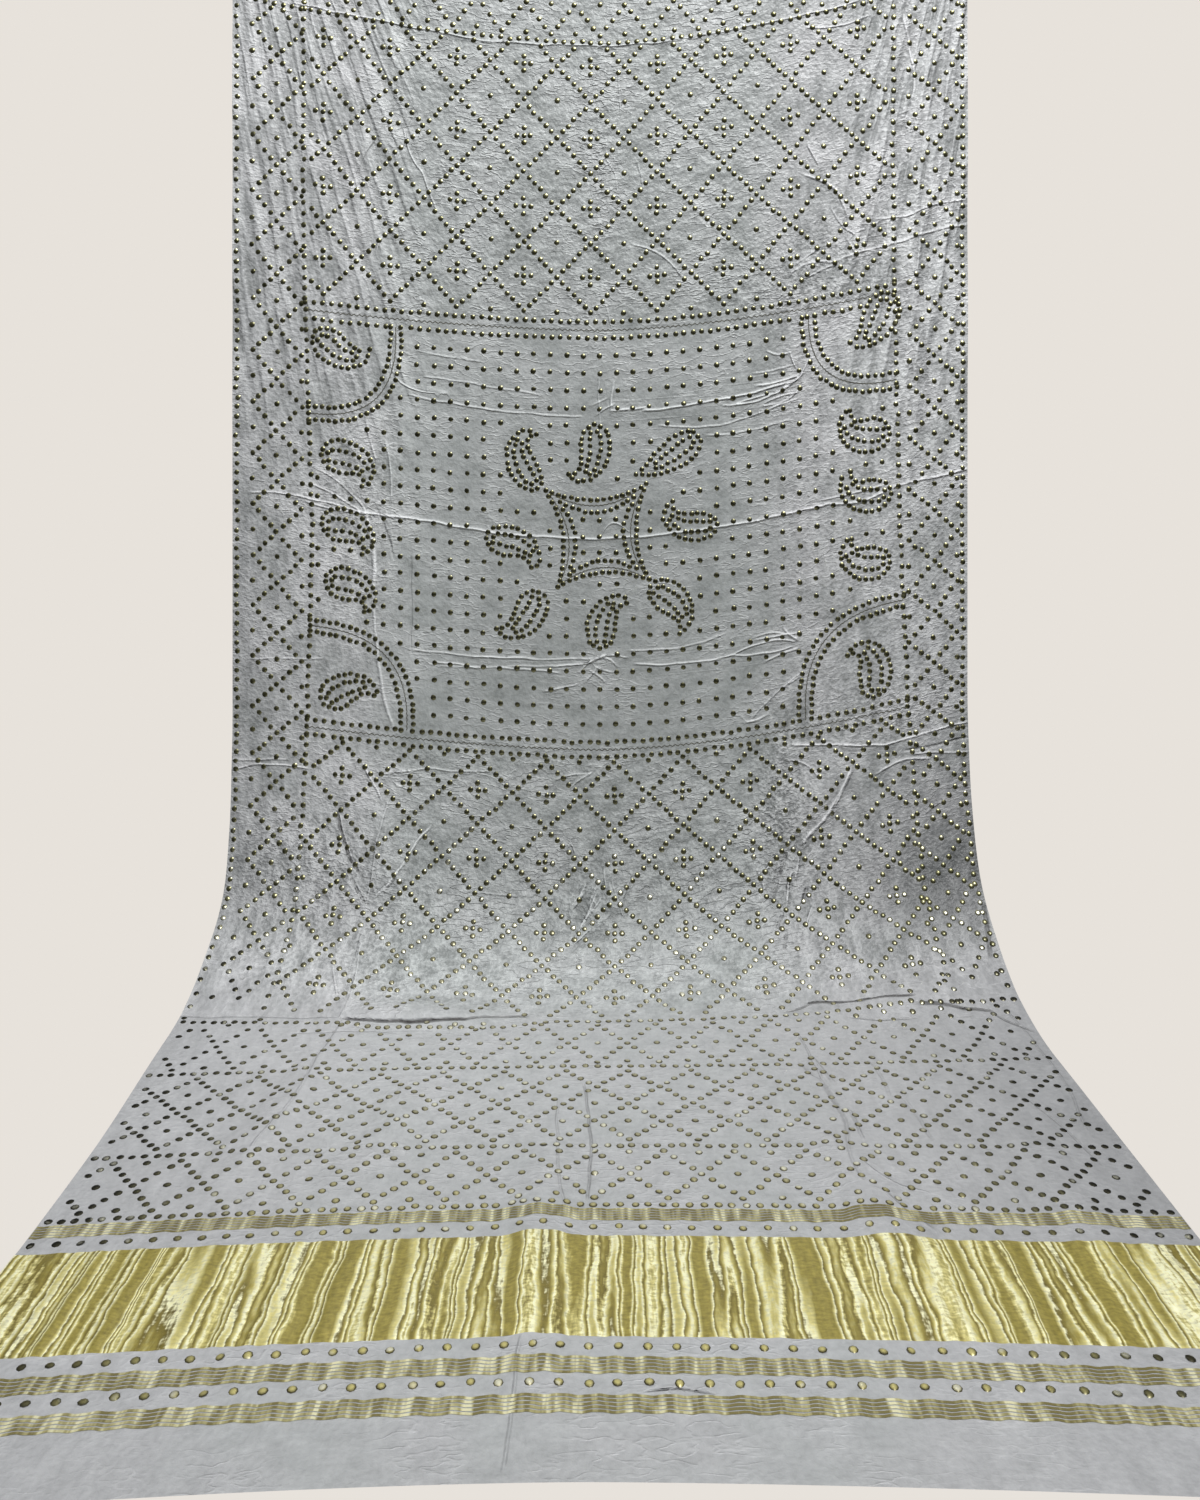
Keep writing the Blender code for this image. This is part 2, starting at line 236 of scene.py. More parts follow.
def table_curve(table, names, name, along):
    """A named column of a table as a smooth curve along the cloth."""
    return smooth_curve(along, column(table, names, "along"), column(table, names, name))


def hung_place(across, along):
    """Where a point of the flat cloth hangs, as x, y and z: the middle's and the edge's curves, mixed by the
    point's distance from the middle line raised to EDGE_GROWTH."""
    share = across / (CLOTH_WIDTH / 2)
    place = []
    for what in ("out", "high"):
        middle, left, right = (
            table_curve(HANG, HANG_COLUMNS, f"{where}_{what}", along) for where in ("mid", "left", "right")
        )
        edge = np.where(across < 0, left, right)
        place.append(np.maximum(middle + (edge - middle) * np.abs(share) ** EDGE_GROWTH, 0.0))
    out, high = place
    left, middle, right = (table_curve(EDGES, EDGE_COLUMNS, name, along) for name in EDGE_COLUMNS[1:])
    bend = (left + right) / 2 - middle
    side = middle + (right - left) / 2 * share + bend * share**2
    return np.stack((side, -out, high - TOP_HEIGHT), axis=-1)


def unit(vectors):
    """The vectors, each made one long."""
    return vectors / np.linalg.norm(vectors, axis=-1, keepdims=True)


def hung_normal(across, along, step=0.003):
    """The hung place's direction that faces the viewer: the cross product of the run along and across."""
    right = np.minimum(across + step, CLOTH_WIDTH / 2)
    left = np.maximum(across - step, -CLOTH_WIDTH / 2)
    ahead = np.minimum(along + step, HALF_LENGTH)
    behind = np.maximum(along - step, -HALF_LENGTH)
    run_along = hung_place(across, ahead) - hung_place(across, behind)
    return unit(np.cross(run_along, hung_place(right, along) - hung_place(left, along)))


def beside_line(across, along, across_1, along_1, across_2, along_2):
    """The length of a straight line and, for each point, the share of the line it has passed and its signed
    distance to one side."""
    run_across, run_along = across_2 - across_1, along_2 - along_1
    length = np.hypot(run_across, run_along)
    share = ((across - across_1) * run_across + (along - along_1) * run_along) / length**2
    aside = ((across - across_1) * run_along - (along - along_1) * run_across) / length
    return length, share, aside


def soft_relief(across, along):
    """The soft folds of the solid: the same humps as there, straight and with full ends."""
    relief = np.zeros(np.shape(across))
    for *ends, high, wide in SOFT_FOLDS:
        _, share, aside = beside_line(across, along, *ends)
        hump = 1.0 - smooth_step(np.abs(aside) / (wide / 2000.0))
        relief += high / 1000.0 * hump * (1.0 - smooth_step(np.abs(share - 0.5) * 2.0))
    return relief


def waver(along_run, seed):
    """A small irregular wave along a crease: three sines whose lengths and phases come from the seed."""
    phases = np.random.default_rng(seed).uniform(0.0, 2 * np.pi, 3)
    return sum(np.sin(along_run * (70.0 + 55.0 * n) + phases[n]) / (n + 1.5) for n in range(3))


def crease_lines(across, along):
    """For each sharp crease: the signed distance from its bowed and slightly wandering line, its height
    faded to nothing at both ends, and half its width, in metres."""
    for number, (*ends, bow, high, wide) in enumerate(SHARP_CREASES):
        length, share, aside = beside_line(across, along, *(np.array(ends) / 1000.0))
        held = np.clip(share, 0.0, 1.0)
        aside = aside - bow / 1000.0 * 4.0 * held * (1.0 - held) + CREASE_WANDER * waver(share * length, number)
        fade = smooth_step((0.5 - np.abs(share - 0.5)) * length / CREASE_END + 0.5)
        yield aside, high / 1000.0 * fade, wide / 2000.0


def crease_relief(across, along):
    """The height that the sharp creases add to the mesh: a rounded hump across each."""
    relief = np.zeros(np.shape(across))
    for aside, high, half in crease_lines(across, along):
        hump = 1.0 - smooth_step(np.abs(aside) / max(half, CREASE_MESH_WIDE / 2000.0))
        relief += CREASE_MESH_SHARE * high * hump
    return relief


def ripple_fans(across, along):
    """For each fan of ripples, in each point: how many ripples it lies round the fan, how far out from the
    place they fan from, and how high they are there."""
    for side, from_across, from_along, spacing, high, inward, fade_from, fade_to in RIPPLES:
        angle = np.arctan2((across - from_across) * -side, along - from_along)
        distance = np.hypot(across - from_across, along - from_along)
        strip = smooth_step((across * side - inward) / RIPPLE_EDGE)
        fade = 1.0 - smooth_step((along - fade_from) / (fade_to - fade_from))
        near = smooth_step((distance - RIPPLE_START[0]) / (RIPPLE_START[1] - RIPPLE_START[0]))
        yield angle / spacing, distance, high * strip * fade * near


def ripple_relief(across, along):
    """The broad part of the ripples: a slow sine round each fan, made uneven by slower waves."""
    relief = np.zeros(np.shape(across))
    for count, distance, high in ripple_fans(across, along):
        wave = np.sin(count * 2.1 + 1.6 * np.sin(distance * 9.0) + 1.1 * np.sin(count * 0.53))
        relief += high * RIPPLE_MESH_SHARE * (wave + 0.7)
    return relief


def hem_relief(across, along):
    """The narrow turned hems: the ends and the sides lie a little proud, with a soft step where they stop."""
    ends = smooth_step((np.abs(along) - (HALF_LENGTH - END_HEM[0])) / HEM_STEP) * END_HEM[1]
    sides = smooth_step((np.abs(across) - (CLOTH_WIDTH / 2 - SIDE_HEM[0])) / HEM_STEP) * SIDE_HEM[1]
    return np.maximum(ends, sides)


def band_relief(across, along):
    """The pucker of the woven gold bands: two sines across, made uneven by slower ones and leaning a little
    along the cloth, rising from nothing at the band's edges to full within a centimetre."""
    relief = np.zeros(np.shape(across))
    for sign, first in FIRST_LINES:
        beyond = along * sign - first
        inside = smooth_step((beyond - GOLD_BAND[0] + PUCKER_OVERLAP) / PUCKER_EDGE)
        inside = inside * smooth_step((GOLD_BAND[1] + PUCKER_OVERLAP - beyond) / PUCKER_EDGE)
        lean = across + 0.10 * (beyond - GOLD_BAND[0]) * np.sin(across * 23.0)
        wave = np.sin(lean * 290.0 + 2.6 * np.sin(lean * 47.0))
        wave = wave + 0.7 * np.sin(lean * 171.0 + 3.0 * np.sin(lean * 31.0 + 1.0))
        relief += PUCKER * inside * (wave + 0.9)
    return relief


def cloth_place(across, along):
    """The dressed cloth's surface: the hung place, moved along its own normal by all the folds."""
    relief = soft_relief(across, along) + crease_relief(across, along)
    relief += ripple_relief(across, along) + band_relief(across, along) + hem_relief(across, along)
    relief = np.maximum(relief, SHEET_LOWEST) + SHEET_REST
    return hung_place(across, along) + hung_normal(across, along) * relief[..., None]


def new_mesh(name, points, corners, sides):
    """A smooth mesh from its points, all faces' corners in a row, and each face's number of sides."""
    mesh = bpy.data.meshes.new(name)
    mesh.vertices.add(points.size // 3)
    mesh.vertices.foreach_set("co", points.reshape(-1).astype(np.float32))
    mesh.loops.add(corners.size)
    mesh.loops.foreach_set("vertex_index", corners.reshape(-1).astype(np.int32))
    mesh.polygons.add(len(sides))
    mesh.polygons.foreach_set("loop_start", (np.cumsum(sides) - sides).astype(np.int32))
    mesh.update()
    mesh.shade_smooth()
    return mesh


def grid_mesh(name, points, uv):
    """A mesh of four-cornered faces over a grid of points, rows by columns, with its UV map."""
    number = np.arange(points.size // 3).reshape(points.shape[:2])
    corners = np.stack((number[:-1, :-1], number[1:, :-1], number[1:, 1:], number[:-1, 1:]), axis=-1)
    mesh = new_mesh(name, points, corners, np.full(corners.size // 4, 4))
    layer = mesh.uv_layers.new(name="UVMap")
    layer.data.foreach_set("uv", uv.reshape(-1, 2)[corners.reshape(-1)].reshape(-1).astype(np.float32))
    mesh.validate()
    return mesh


def add_attribute(mesh, name, values, kind="FLOAT_VECTOR"):
    """A named attribute on the mesh's points: three numbers in each, or one where kind is FLOAT."""
    layer = mesh.attributes.new(name, kind, "POINT")
    key = "vector" if kind == "FLOAT_VECTOR" else "value"
    layer.data.foreach_set(key, values.reshape(-1).astype(np.float32))


def add_piece(name, mesh, slot, *materials):
    """A new object at the origin with its materials, riding on the cloth's own body. slot: not used."""
    piece = bpy.data.objects.new(name, mesh)
    bpy.context.scene.collection.objects.link(piece)
    for material in materials:
        piece.data.materials.append(material)
    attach(piece, "root")
    return piece


def crease_sets():
    """The sharp creases in as few sets as keep those of one set well apart from each other."""
    share = np.linspace(0.0, 1.0, 12)[:, None]
    ends = np.array(SHARP_CREASES)[:, :4] / 1000.0
    lines = [row[:2] + (row[2:] - row[:2]) * share for row in ends]
    sets = []
    for number, line in enumerate(lines):
        for members in sets:
            gaps = [np.linalg.norm(line[:, None] - lines[other][None], axis=-1).min() for other in members]
            if min(gaps) > CREASE_APART:
                members.append(number)
                break
        else:
            sets.append([number])
    return sets


def add_crease_attributes(mesh, across, along):
    """For each set of creases, the nearest crease's distance in half widths and its height in millimetres, in
    each point, so that the finish can draw a line far finer than the mesh."""
    lines = list(crease_lines(across, along))
    names = []
    for number, members in enumerate(crease_sets()):
        nearest = np.full(across.shape, np.inf)
        values = np.zeros((*across.shape, 3))
        for member in members:
            aside, high, half = lines[member]
            near = (np.abs(aside) < np.minimum(nearest, half + CREASE_REACH)) & (high != 0.0)
            nearest = np.where(near, np.abs(aside), nearest)
            window = 1.0 - smooth_step((np.abs(aside) - half - 0.6 * CREASE_REACH) / (0.4 * CREASE_REACH))
            values[near, 0] = (aside / half)[near]
            values[near, 1] = (high * window * 1000.0)[near]
        names.append(f"creases_{number}")
        add_attribute(mesh, names[-1], values)
    return names


def add_ripple_attribute(mesh, across, along):
    """Each point's place in the fans of ripples, and the ripples' height there in millimetres."""
    values = np.zeros((*across.shape, 3))
    for number, (count, distance, high) in enumerate(ripple_fans(across, along)):
        here = (high > 0.0) | ((across > 0.0) == (number == 1))
        values[here] = np.stack((count + 31.7 * number, distance, high * 1000.0), axis=-1)[here]
    add_attribute(mesh, "ripples", values)


# Spots on the cloth: the middle, how far a spot reaches, and how much more it adds.
SPOT_COLUMNS = ("across", "along", "reach_across", "reach_along", "more")
# Where the satin is more crumpled.
PUCKERED = (
    (0.235, 0.390, 0.028, 0.095, 2.2),
    (0.270, -0.305, 0.085, 0.055, 1.0),
    (-0.305, -0.050, 0.045, 0.110, 0.6),
    (-0.360, 0.460, 0.095, 0.065, 1.3),
    (-0.280, 0.560, 0.170, 0.060, 0.9),
    (0.300, 0.550, 0.160, 0.070, 0.7),
    (0.400, -0.150, 0.080, 0.450, 0.35),
    (-0.012, 0.485, 0.035, 0.045, 1.3),
    (0.350, 0.270, 0.085, 0.040, 0.8),
    (0.000, -0.500, 0.020, 0.120, 0.7),
    (0.150, 0.440, 0.250, 0.060, 0.5),
)
# Painted light and shade: where the satin is painted paler or darker, as the light falls on it.
PAINTED_LIGHT_SPOTS = (
    (0.02, 0.10, 0.24, 0.40, -0.11),
    (-0.10, 0.450, 0.420, 0.090, -0.12),
    (0.020, 0.425, 0.240, 0.100, -0.12),
    (-0.420, 0.505, 0.140, 0.050, -0.18),
    (0.420, 0.520, 0.120, 0.060, -0.26),
    (0.470, 0.460, 0.150, 0.130, -0.42),
    (0.500, 0.900, 0.140, 0.300, -0.24),
    (-0.20, 0.720, 0.360, 0.190, 0.19),
    (-0.475, 0.300, 0.050, 0.330, -0.12),
    (0.400, -0.150, 0.130, 0.420, 0.24),
    (-0.330, 0.000, 0.110, 0.520, 0.18),
    (0.480, -0.560, 0.120, 0.200, 0.12),
    (-0.480, -0.640, 0.120, 0.200, 0.14),
    (0.0, 1.235, 0.500, 0.060, -0.06),
)


def with_spots(values, spots, across, along):
    """The values with each spot's share added, which fades out from its middle as a bell does."""
    for at_across, at_along, reach_across, reach_along, more in spots:
        from_across, from_along = (across - at_across) / reach_across, (along - at_along) / reach_along
        values = values + more * np.exp(-(from_across**2) - from_along**2)
    return values


# Where the satin lies differently: down the sides, beyond a distance from LIE_MIDDLE; on the floor; and in the
# middle panel. Each comes in over its own width, and the last two lack a share of the crumple.
LIE_MIDDLE = -0.03
SIDES_FROM, SIDES_OVER = 0.20, 0.10
FLOOR_FROM, FLOOR_OVER, FLOOR_LACK = 0.57, 0.10, 0.60
PANEL_TO, PANEL_OVER, PANEL_LACK = 0.30, 0.05, 0.45


def add_lie_attribute(mesh, across, along):
    """How the satin lies in each point. x: 1 down the sides and 0 in the middle. y: how crumpled it is, less
    on the floor and in the middle panel, more in the puckered spots. z: 1 on the wall, less on the floor."""
    sides = smooth_step((np.abs(across - LIE_MIDDLE) - SIDES_FROM) / SIDES_OVER)
    wall = 1.0 - FLOOR_LACK * smooth_step((along - FLOOR_FROM) / FLOOR_OVER)
    panel = (1.0 - sides) * smooth_step((PANEL_TO - np.abs(along)) / PANEL_OVER)
    crumpled = with_spots(wall * (1.0 - PANEL_LACK * panel), PUCKERED, across, along)
    add_attribute(mesh, "lie", np.stack((sides, crumpled, wall), axis=-1))


MIX_SOCKETS = {"FLOAT": (2, 3, 0), "RGBA": (6, 7, 2)}  # a mix node's two inputs and output, by its kind


class Nodes:
    """The node tree of a material or of the world, with short ways to add nodes to it."""

    def __init__(self, owner):
        owner.use_nodes = True
        self.owner, self.tree = owner, owner.node_tree

    def fill(self, node, inputs):
        """Links each input to a socket or sets it to a value. Colours come without their alpha."""
        for key, value in dict(inputs).items():
            if isinstance(value, bpy.types.NodeSocket):
                self.tree.links.new(value, node.inputs[key])
            else:
                colour = node.inputs[key].type == "RGBA"
                node.inputs[key].default_value = (*value, 1.0) if colour else value

    def add(self, kind, inputs=(), **settings):
        """A node's outputs, after its settings and inputs are filled in."""
        node = self.tree.nodes.new(f"ShaderNode{kind}")
        for key, value in settings.items():
            setattr(node, key, value)
        self.fill(node, inputs)
        return node.outputs

    def math(self, operation, *values):
        """The result of a named operation on one or two values."""
        return self.add("Math", dict(enumerate(values)), operation=operation)[0]

    def scaled(self, value, by, plus=0.0, **settings):
        """A value times another, plus a third."""
        return self.add("Math", {0: value, 1: by, 2: plus}, operation="MULTIPLY_ADD", **settings)[0]

    def rescaled(self, value, start, end, low=0.0, high=1.0, **settings):
        """How far a value is from start to end, held between them, as a way from low to high."""
        inputs = {"Value": value, "From Min": start, "From Max": end, "To Min": low, "To Max": high}
        return self.add("MapRange", inputs, **settings)["Result"]

    def mixed(self, factor, first, second, kind="RGBA", **settings):
        """Two colours, or two numbers where kind is FLOAT, mixed by a factor."""
        one, other, output = MIX_SOCKETS[kind]
        inputs = {"Factor": factor, one: first, other: second}
        return self.add("Mix", inputs, data_type=kind, **settings)[output]

    def dimmed(self, colour, share):
        """A colour times a number."""
        shares = self.joined(share, share, share)
        return self.add("VectorMath", {0: colour, 1: shares}, operation="MULTIPLY")[0]

    def ramp(self, factor, stops):
        """The colour that a factor has between (place, colour) stops."""
        outputs = self.add("ValToRGB", {"Fac": factor})
        elements = outputs[0].node.color_ramp.elements
        while len(elements) < len(stops):
            elements.new(0.5)
        for element, (place, colour) in zip(elements, stops):
            element.position, element.color = place, (*colour, 1.0)
        return outputs["Color"]

    def split(self, vector):
        """A vector's three numbers, X, Y and Z."""
        return self.add("SeparateXYZ", {0: vector})

    def joined(self, x, y, z=0.0):
        """Three numbers as one vector."""
        return self.add("CombineXYZ", {0: x, 1: y, 2: z})[0]

    def attribute(self, name):
        """An attribute of the mesh's points, as three numbers."""
        return self.split(self.add("Attribute", attribute_name=name)["Vector"])

    def number(self, name):
        """An attribute of the mesh's points that is one number."""
        return self.add("Attribute", attribute_name=name)["Fac"]

    def flat_place(self, scale_across=1.0, scale_along=1.0, turn=0.0):
        """The place on the flat cloth in metres, each way times its own scale, and turned."""
        scale = (CLOTH_WIDTH * scale_across, 2 * HALF_LENGTH * scale_along, 1.0)
        uv = self.add("UVMap", uv_map="UVMap")["UV"]
        return self.add("Mapping", {"Vector": uv, "Scale": scale, "Rotation": (0.0, 0.0, turn)})["Vector"]

    def noise(self, place, size, detail=2.0, dimensions="2D"):
        """A cloudy value from 0 to 1, mostly near 0.5. size: how many clouds there are in a metre."""
        inputs = {"Vector": place, "Scale": size, "Detail": detail, "Roughness": 0.5}
        return self.add("TexNoise", inputs, noise_dimensions=dimensions)["Fac"]

    def weave(self, place, size, distortion, direction):
        """Fine waves across one direction."""
        inputs = {"Vector": place, "Scale": size, "Distortion": distortion}
        return self.add("TexWave", inputs, bands_direction=direction)["Fac"]

    def bump(self, height, strength, distance, *below):
        """A relief, distance metres for each 1 of height, on top of the relief below it."""
        inputs = {"Height": height, "Strength": strength, "Distance": distance}
        return self.add("Bump", {**inputs, **{"Normal": normal for normal in below}})["Normal"]

    def end(self, inputs, last="Principled BSDF"):
        """Fills the inputs of the last shader and gives the material or world back."""
        self.fill(self.tree.nodes[last], inputs)
        return self.owner


def new_material(name):
    """The nodes of a new material."""
    return Nodes(bpy.data.materials.new(name))


SATIN_GREYS = ((0.34, (0.285, 0.294, 0.291)), (0.50, (0.440, 0.450, 0.448)), (0.66, (0.590, 0.603, 0.598)))
TINT_COOL, TINT_WARM = (0.970, 1.0, 0.995), (1.0, 0.988, 1.010)
# Painted shade in the bottom of a tuck.
SATIN_SHADE = (0.075, 0.070, 0.066)  # in the bottom of a tuck
# A painted highlight on the crown of a sharp crease.
SATIN_CREST_HIGHLIGHT = (0.85, 0.86, 0.86)  # on the crown of a sharp crease
CREASE_DEPTH, CRUMPLE_DEPTH, WEAVE_DEPTH = 0.0013, 0.0027, 0.0002  # each relief, in metres for 1 of height


def satin_material(crease_names):
    """Grey satin, on the flat cloth's own metres.

    The crumple is a noise drawn out across the cloth in the middle and along it at the sides, with thin
    ridges in patches and a small hammered grain. To it come the pulled ripples, the sharp creases and a fine
    lengthwise weave. The colour has painted shading: it is paler where the crumple and the ripples are
    raised, with a painted highlight on the creases' crowns and painted shade in the bottoms of tucks. It is
    also cooler and warmer by turns, and multiplied by the shade attribute, which is painted light and shade.
    """
    satin = new_material("grey_satin")
    math, scaled = satin.math, satin.scaled
    lie, fan = satin.attribute("lie"), satin.attribute("ripples")

    def crumple(scale_across, scale_along, size, detail, turn=0.0):
        """A noise drawn out along the way that has the smaller scale."""
        return satin.noise(satin.flat_place(scale_across, scale_along, turn), size, detail)

    middle, side = crumple(0.80, 1.0, 62.0, 1.0), crumple(1.0, 0.45, 68.0, 1.0, 0.12)
    broad = satin.mixed(lie["X"], middle, side, "FLOAT")
    grain, patch = crumple(1.0, 1.0, 210.0, 2.5), crumple(1.0, 1.0, 14.0, 2.0)
    veins = crumple(0.45, 1.25, 74.0, 2.0)
    ridge = scaled(math("ABSOLUTE", math("SUBTRACT", veins, 0.5)), -18.0, 1.0, use_clamp=True)
    ridge = scaled(ridge, scaled(patch, 5.0, -2.0, use_clamp=True))

    # The ripples are a sine round the fan, made uneven by a noise that is drawn out down the fan.
    wander = satin.noise(satin.joined(fan["X"], scaled(fan["Y"], 9.0)), 0.9, 1.5)
    turns = scaled(wander, 11.0, scaled(fan["X"], 4.2))
    ripple = scaled(math("SINE", turns), 0.55, scaled(wander, 2.4, -1.2))
    ripple = scaled(ripple, fan["Z"])

    # Each set of creases: a smooth hump across the nearest crease, times its height.
    height, crest_rise, sunk = 0.0, 0.0, 0.0
    for name in crease_names:
        crease = satin.attribute(name)
        aside = math("ABSOLUTE", crease["X"])
        high = scaled(satin.rescaled(aside, 0.0, 1.0, 1.0, 0.0, interpolation_type="SMOOTHSTEP"), crease["Y"])
        height, crest_rise = math("ADD", high, height), math("ADD", math("MAXIMUM", high, 0.0), crest_rise)
        sunk = math("SUBTRACT", sunk, math("MINIMUM", high, 0.0))

    # Painted shading: the grey is paler where the crumple stands high and along the ripples' crests; the
    # patches vary it at random.
    mottle = scaled(ridge, 0.11, scaled(grain, 0.30, scaled(broad, 0.30, -0.30)))
    cloud = scaled(math("SUBTRACT", patch, 0.5), scaled(lie["Z"], 0.38, -0.10))
    tone = scaled(mottle, lie["Y"], math("ADD", cloud, 0.5))
    colour = satin.ramp(scaled(ripple, 0.055, tone), SATIN_GREYS)
    # Painted highlight on the crowns of the creases, stronger on the wall than on the floor.
    crown = scaled(crest_rise, scaled(lie["Z"], 1.05, -0.30), -0.20, use_clamp=True)
    # Painted shade in the bottoms of tucks, darker where the trough is deeper.
    bottom = scaled(sunk, 0.40, -0.30, use_clamp=True)
    colour = satin.mixed(bottom, satin.mixed(crown, colour, SATIN_CREST_HIGHLIGHT), SATIN_SHADE)
    warmth = scaled(lie["X"], 0.6, scaled(patch, 1.0, 0.65))
    warmth = scaled(lie["Z"], -1.0, warmth, use_clamp=True)
    colour = satin.mixed(1.0, colour, satin.mixed(warmth, TINT_COOL, TINT_WARM), blend_type="MULTIPLY")
    # Painted light and shade: the colour times the shade attribute from the spots' table.
    colour = satin.dimmed(colour, satin.number("shade"))

    ridged = scaled(ridge, scaled(lie["X"], -0.22, 0.38))
    crumpled = scaled(scaled(grain, 0.55, math("ADD", broad, ridged)), lie["Y"])
    deep = satin.bump(scaled(ripple, 0.40, height), 1.0, CREASE_DEPTH)
    soft = satin.bump(crumpled, 1.0, CRUMPLE_DEPTH, deep)
    fine = satin.bump(satin.weave(satin.flat_place(), 420.0, 1.5, "X"), 0.15, WEAVE_DEPTH, soft)
    return satin.end({
        "Base Color": colour, "Roughness": satin.rescaled(grain, 0.0, 1.0, 0.32, 0.50), "Normal": fine,
        "Specular IOR Level": 0.50, "Sheen Weight": 0.15, "Sheen Roughness": 0.4,
    })


# The darkest gold is painted shade and the brightest a painted highlight; the olive and middle golds are the
# thread's own.
GOLD_SHADE, GOLD_OLIVE = (0.210, 0.168, 0.038), (0.350, 0.292, 0.072)
GOLD_MIDDLE, GOLD_HIGHLIGHT = (0.710, 0.640, 0.260), (1.000, 0.980, 0.640)
CRINKLE_DEPTH, WEFT_DEPTH = 0.0065, 0.0003
# Painted highlights and shade: the golds from the bottom of a crinkle to its crown, several bright and dark
# lines on each slope.
GOLD_BAND_SHADES = (
    (0.330, GOLD_OLIVE), (0.368, GOLD_MIDDLE), (0.388, GOLD_HIGHLIGHT), (0.410, GOLD_MIDDLE),
    (0.432, GOLD_OLIVE), (0.452, GOLD_SHADE), (0.474, GOLD_MIDDLE), (0.486, GOLD_HIGHLIGHT),
    (0.498, GOLD_HIGHLIGHT), (0.518, GOLD_MIDDLE), (0.545, GOLD_OLIVE), (0.568, GOLD_SHADE),
    (0.590, GOLD_HIGHLIGHT), (0.616, GOLD_MIDDLE), (0.660, GOLD_OLIVE),
)


def gold_band_material():
    """Gold thread woven close: long lengthwise crinkles from a noise drawn out along the cloth, with painted
    highlights and shade coloured by their height, flecked by two finer noises, with a relief of the same
    crinkles and a fine weft."""
    band = new_material("gold_band")
    math, scaled = band.math, band.scaled
    flat = band.flat_place()
    place = band.split(flat)
    fleck = band.noise(band.joined(place["X"], scaled(place["Y"], 0.30)), 330.0)
    picks = band.noise(band.joined(scaled(place["X"], 0.40), place["Y"]), 420.0)
    wavy = scaled(band.noise(flat, 26.0), 0.0070, place["X"])
    crinkle = band.noise(band.joined(wavy, scaled(place["Y"], 0.030)), 44.0, 1.0)
    # Painted highlights and shade, from the crinkles' height.
    lit = scaled(fleck, 0.055, math("SUBTRACT", crinkle, 0.0275))
    lit = scaled(picks, 0.020, math("SUBTRACT", lit, 0.010))
    dusk = scaled(picks, 0.9, scaled(fleck, 0.5, 0.30))
    raised = band.bump(crinkle, 1.0, CRINKLE_DEPTH)
    return band.end({
        "Base Color": band.dimmed(band.ramp(lit, GOLD_BAND_SHADES), dusk), "Metallic": 0.15, "Roughness": 0.34,
        "Normal": band.bump(band.weave(flat, 300.0, 0.6, "Y"), 0.5, WEFT_DEPTH, raised),
    })


def even_runs(runs):
    """Places along a line: each run's even steps, joined."""
    return np.concatenate([np.linspace(a, b, n, endpoint=False) for a, b, n in runs] + [[runs[-1][1]]])


# The sheet's grid, as runs of from, to and steps. It is closer where the folds are fine, and its rows break
# where the gold bands begin and end.
COLUMN_RUNS = ((-0.475, -0.245, 80), (-0.245, 0.245, 94), (0.245, 0.475, 80))
floor_band, top_band = (sorted(sign * (first + edge) for edge in GOLD_BAND) for sign, first in FIRST_LINES)
ROW_RUNS = (
    (-HALF_LENGTH, top_band[0], 10), (top_band[0], top_band[1], 12), (top_band[1], -0.650, 28),
    (-0.650, -0.620, 10), (-0.620, -0.020, 84), (-0.020, 0.020, 14), (0.020, 0.290, 38),
    (0.290, 0.660, 94), (0.660, floor_band[0], 52), (floor_band[0], floor_band[1], 16),
    (floor_band[1], HALF_LENGTH, 16),
)
row_places, column_places = even_runs(ROW_RUNS), even_runs(COLUMN_RUNS)
across_grid, along_grid = np.meshgrid(column_places, row_places)
flat_uv = np.stack((across_grid / CLOTH_WIDTH + 0.5, 0.5 - along_grid / (2 * HALF_LENGTH)), axis=-1)
sheet_mesh = grid_mesh("satin_sheet", cloth_place(across_grid, along_grid), flat_uv)
crease_names = add_crease_attributes(sheet_mesh, across_grid, along_grid)
add_lie_attribute(sheet_mesh, across_grid, along_grid)
# Painted light and shade for the satin, spot by spot.
shades = with_spots(np.ones(across_grid.shape), PAINTED_LIGHT_SPOTS, across_grid, along_grid)
add_attribute(sheet_mesh, "shade", shades, "FLOAT")
add_ripple_attribute(sheet_mesh, across_grid, along_grid)
sheet = add_piece("satin_sheet", sheet_mesh, "satin", satin_material(crease_names), gold_band_material())
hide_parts("cloth")
row_middles = (row_places[:-1] + row_places[1:]) / 2
in_gold = np.any([(low < row_middles) & (row_middles < high) for low, high in (floor_band, top_band)], axis=0)
sheet_mesh.polygons.foreach_set("material_index", np.repeat(in_gold, len(column_places) - 1).astype(np.int32))

# ---------------------------------------------------------------------------------------------------------
# The woven gold stripes. Each narrow stripe is five fine gold threads a few millimetres apart, floated over
# the satin, so they run a little wavy.

STRIPES = (0.3286, 0.4907, 0.5238)  # each stripe's first thread, beyond the first dotted line
THREADS_IN_STRIPE = 5
THREAD_SPACING = 0.0032
THREAD_WIDE = 0.0022
THREAD_PROUD = 0.0003
THREAD_INSET = 0.0008  # between a thread's end and the side edge
STRIPE_SWAY, THREAD_SWAY = 0.0007, 0.0002  # how far a whole stripe, and each of its threads, waves
THREAD_SHADES = ((0.42, (0.25, 0.215, 0.085)), (0.54, (0.52, 0.475, 0.235)), (0.66, (0.94, 0.90, 0.58)))


def left_of(run):
    """The direction to one side of each run."""
    return np.stack((-run[..., 1], run[..., 0]), axis=-1)


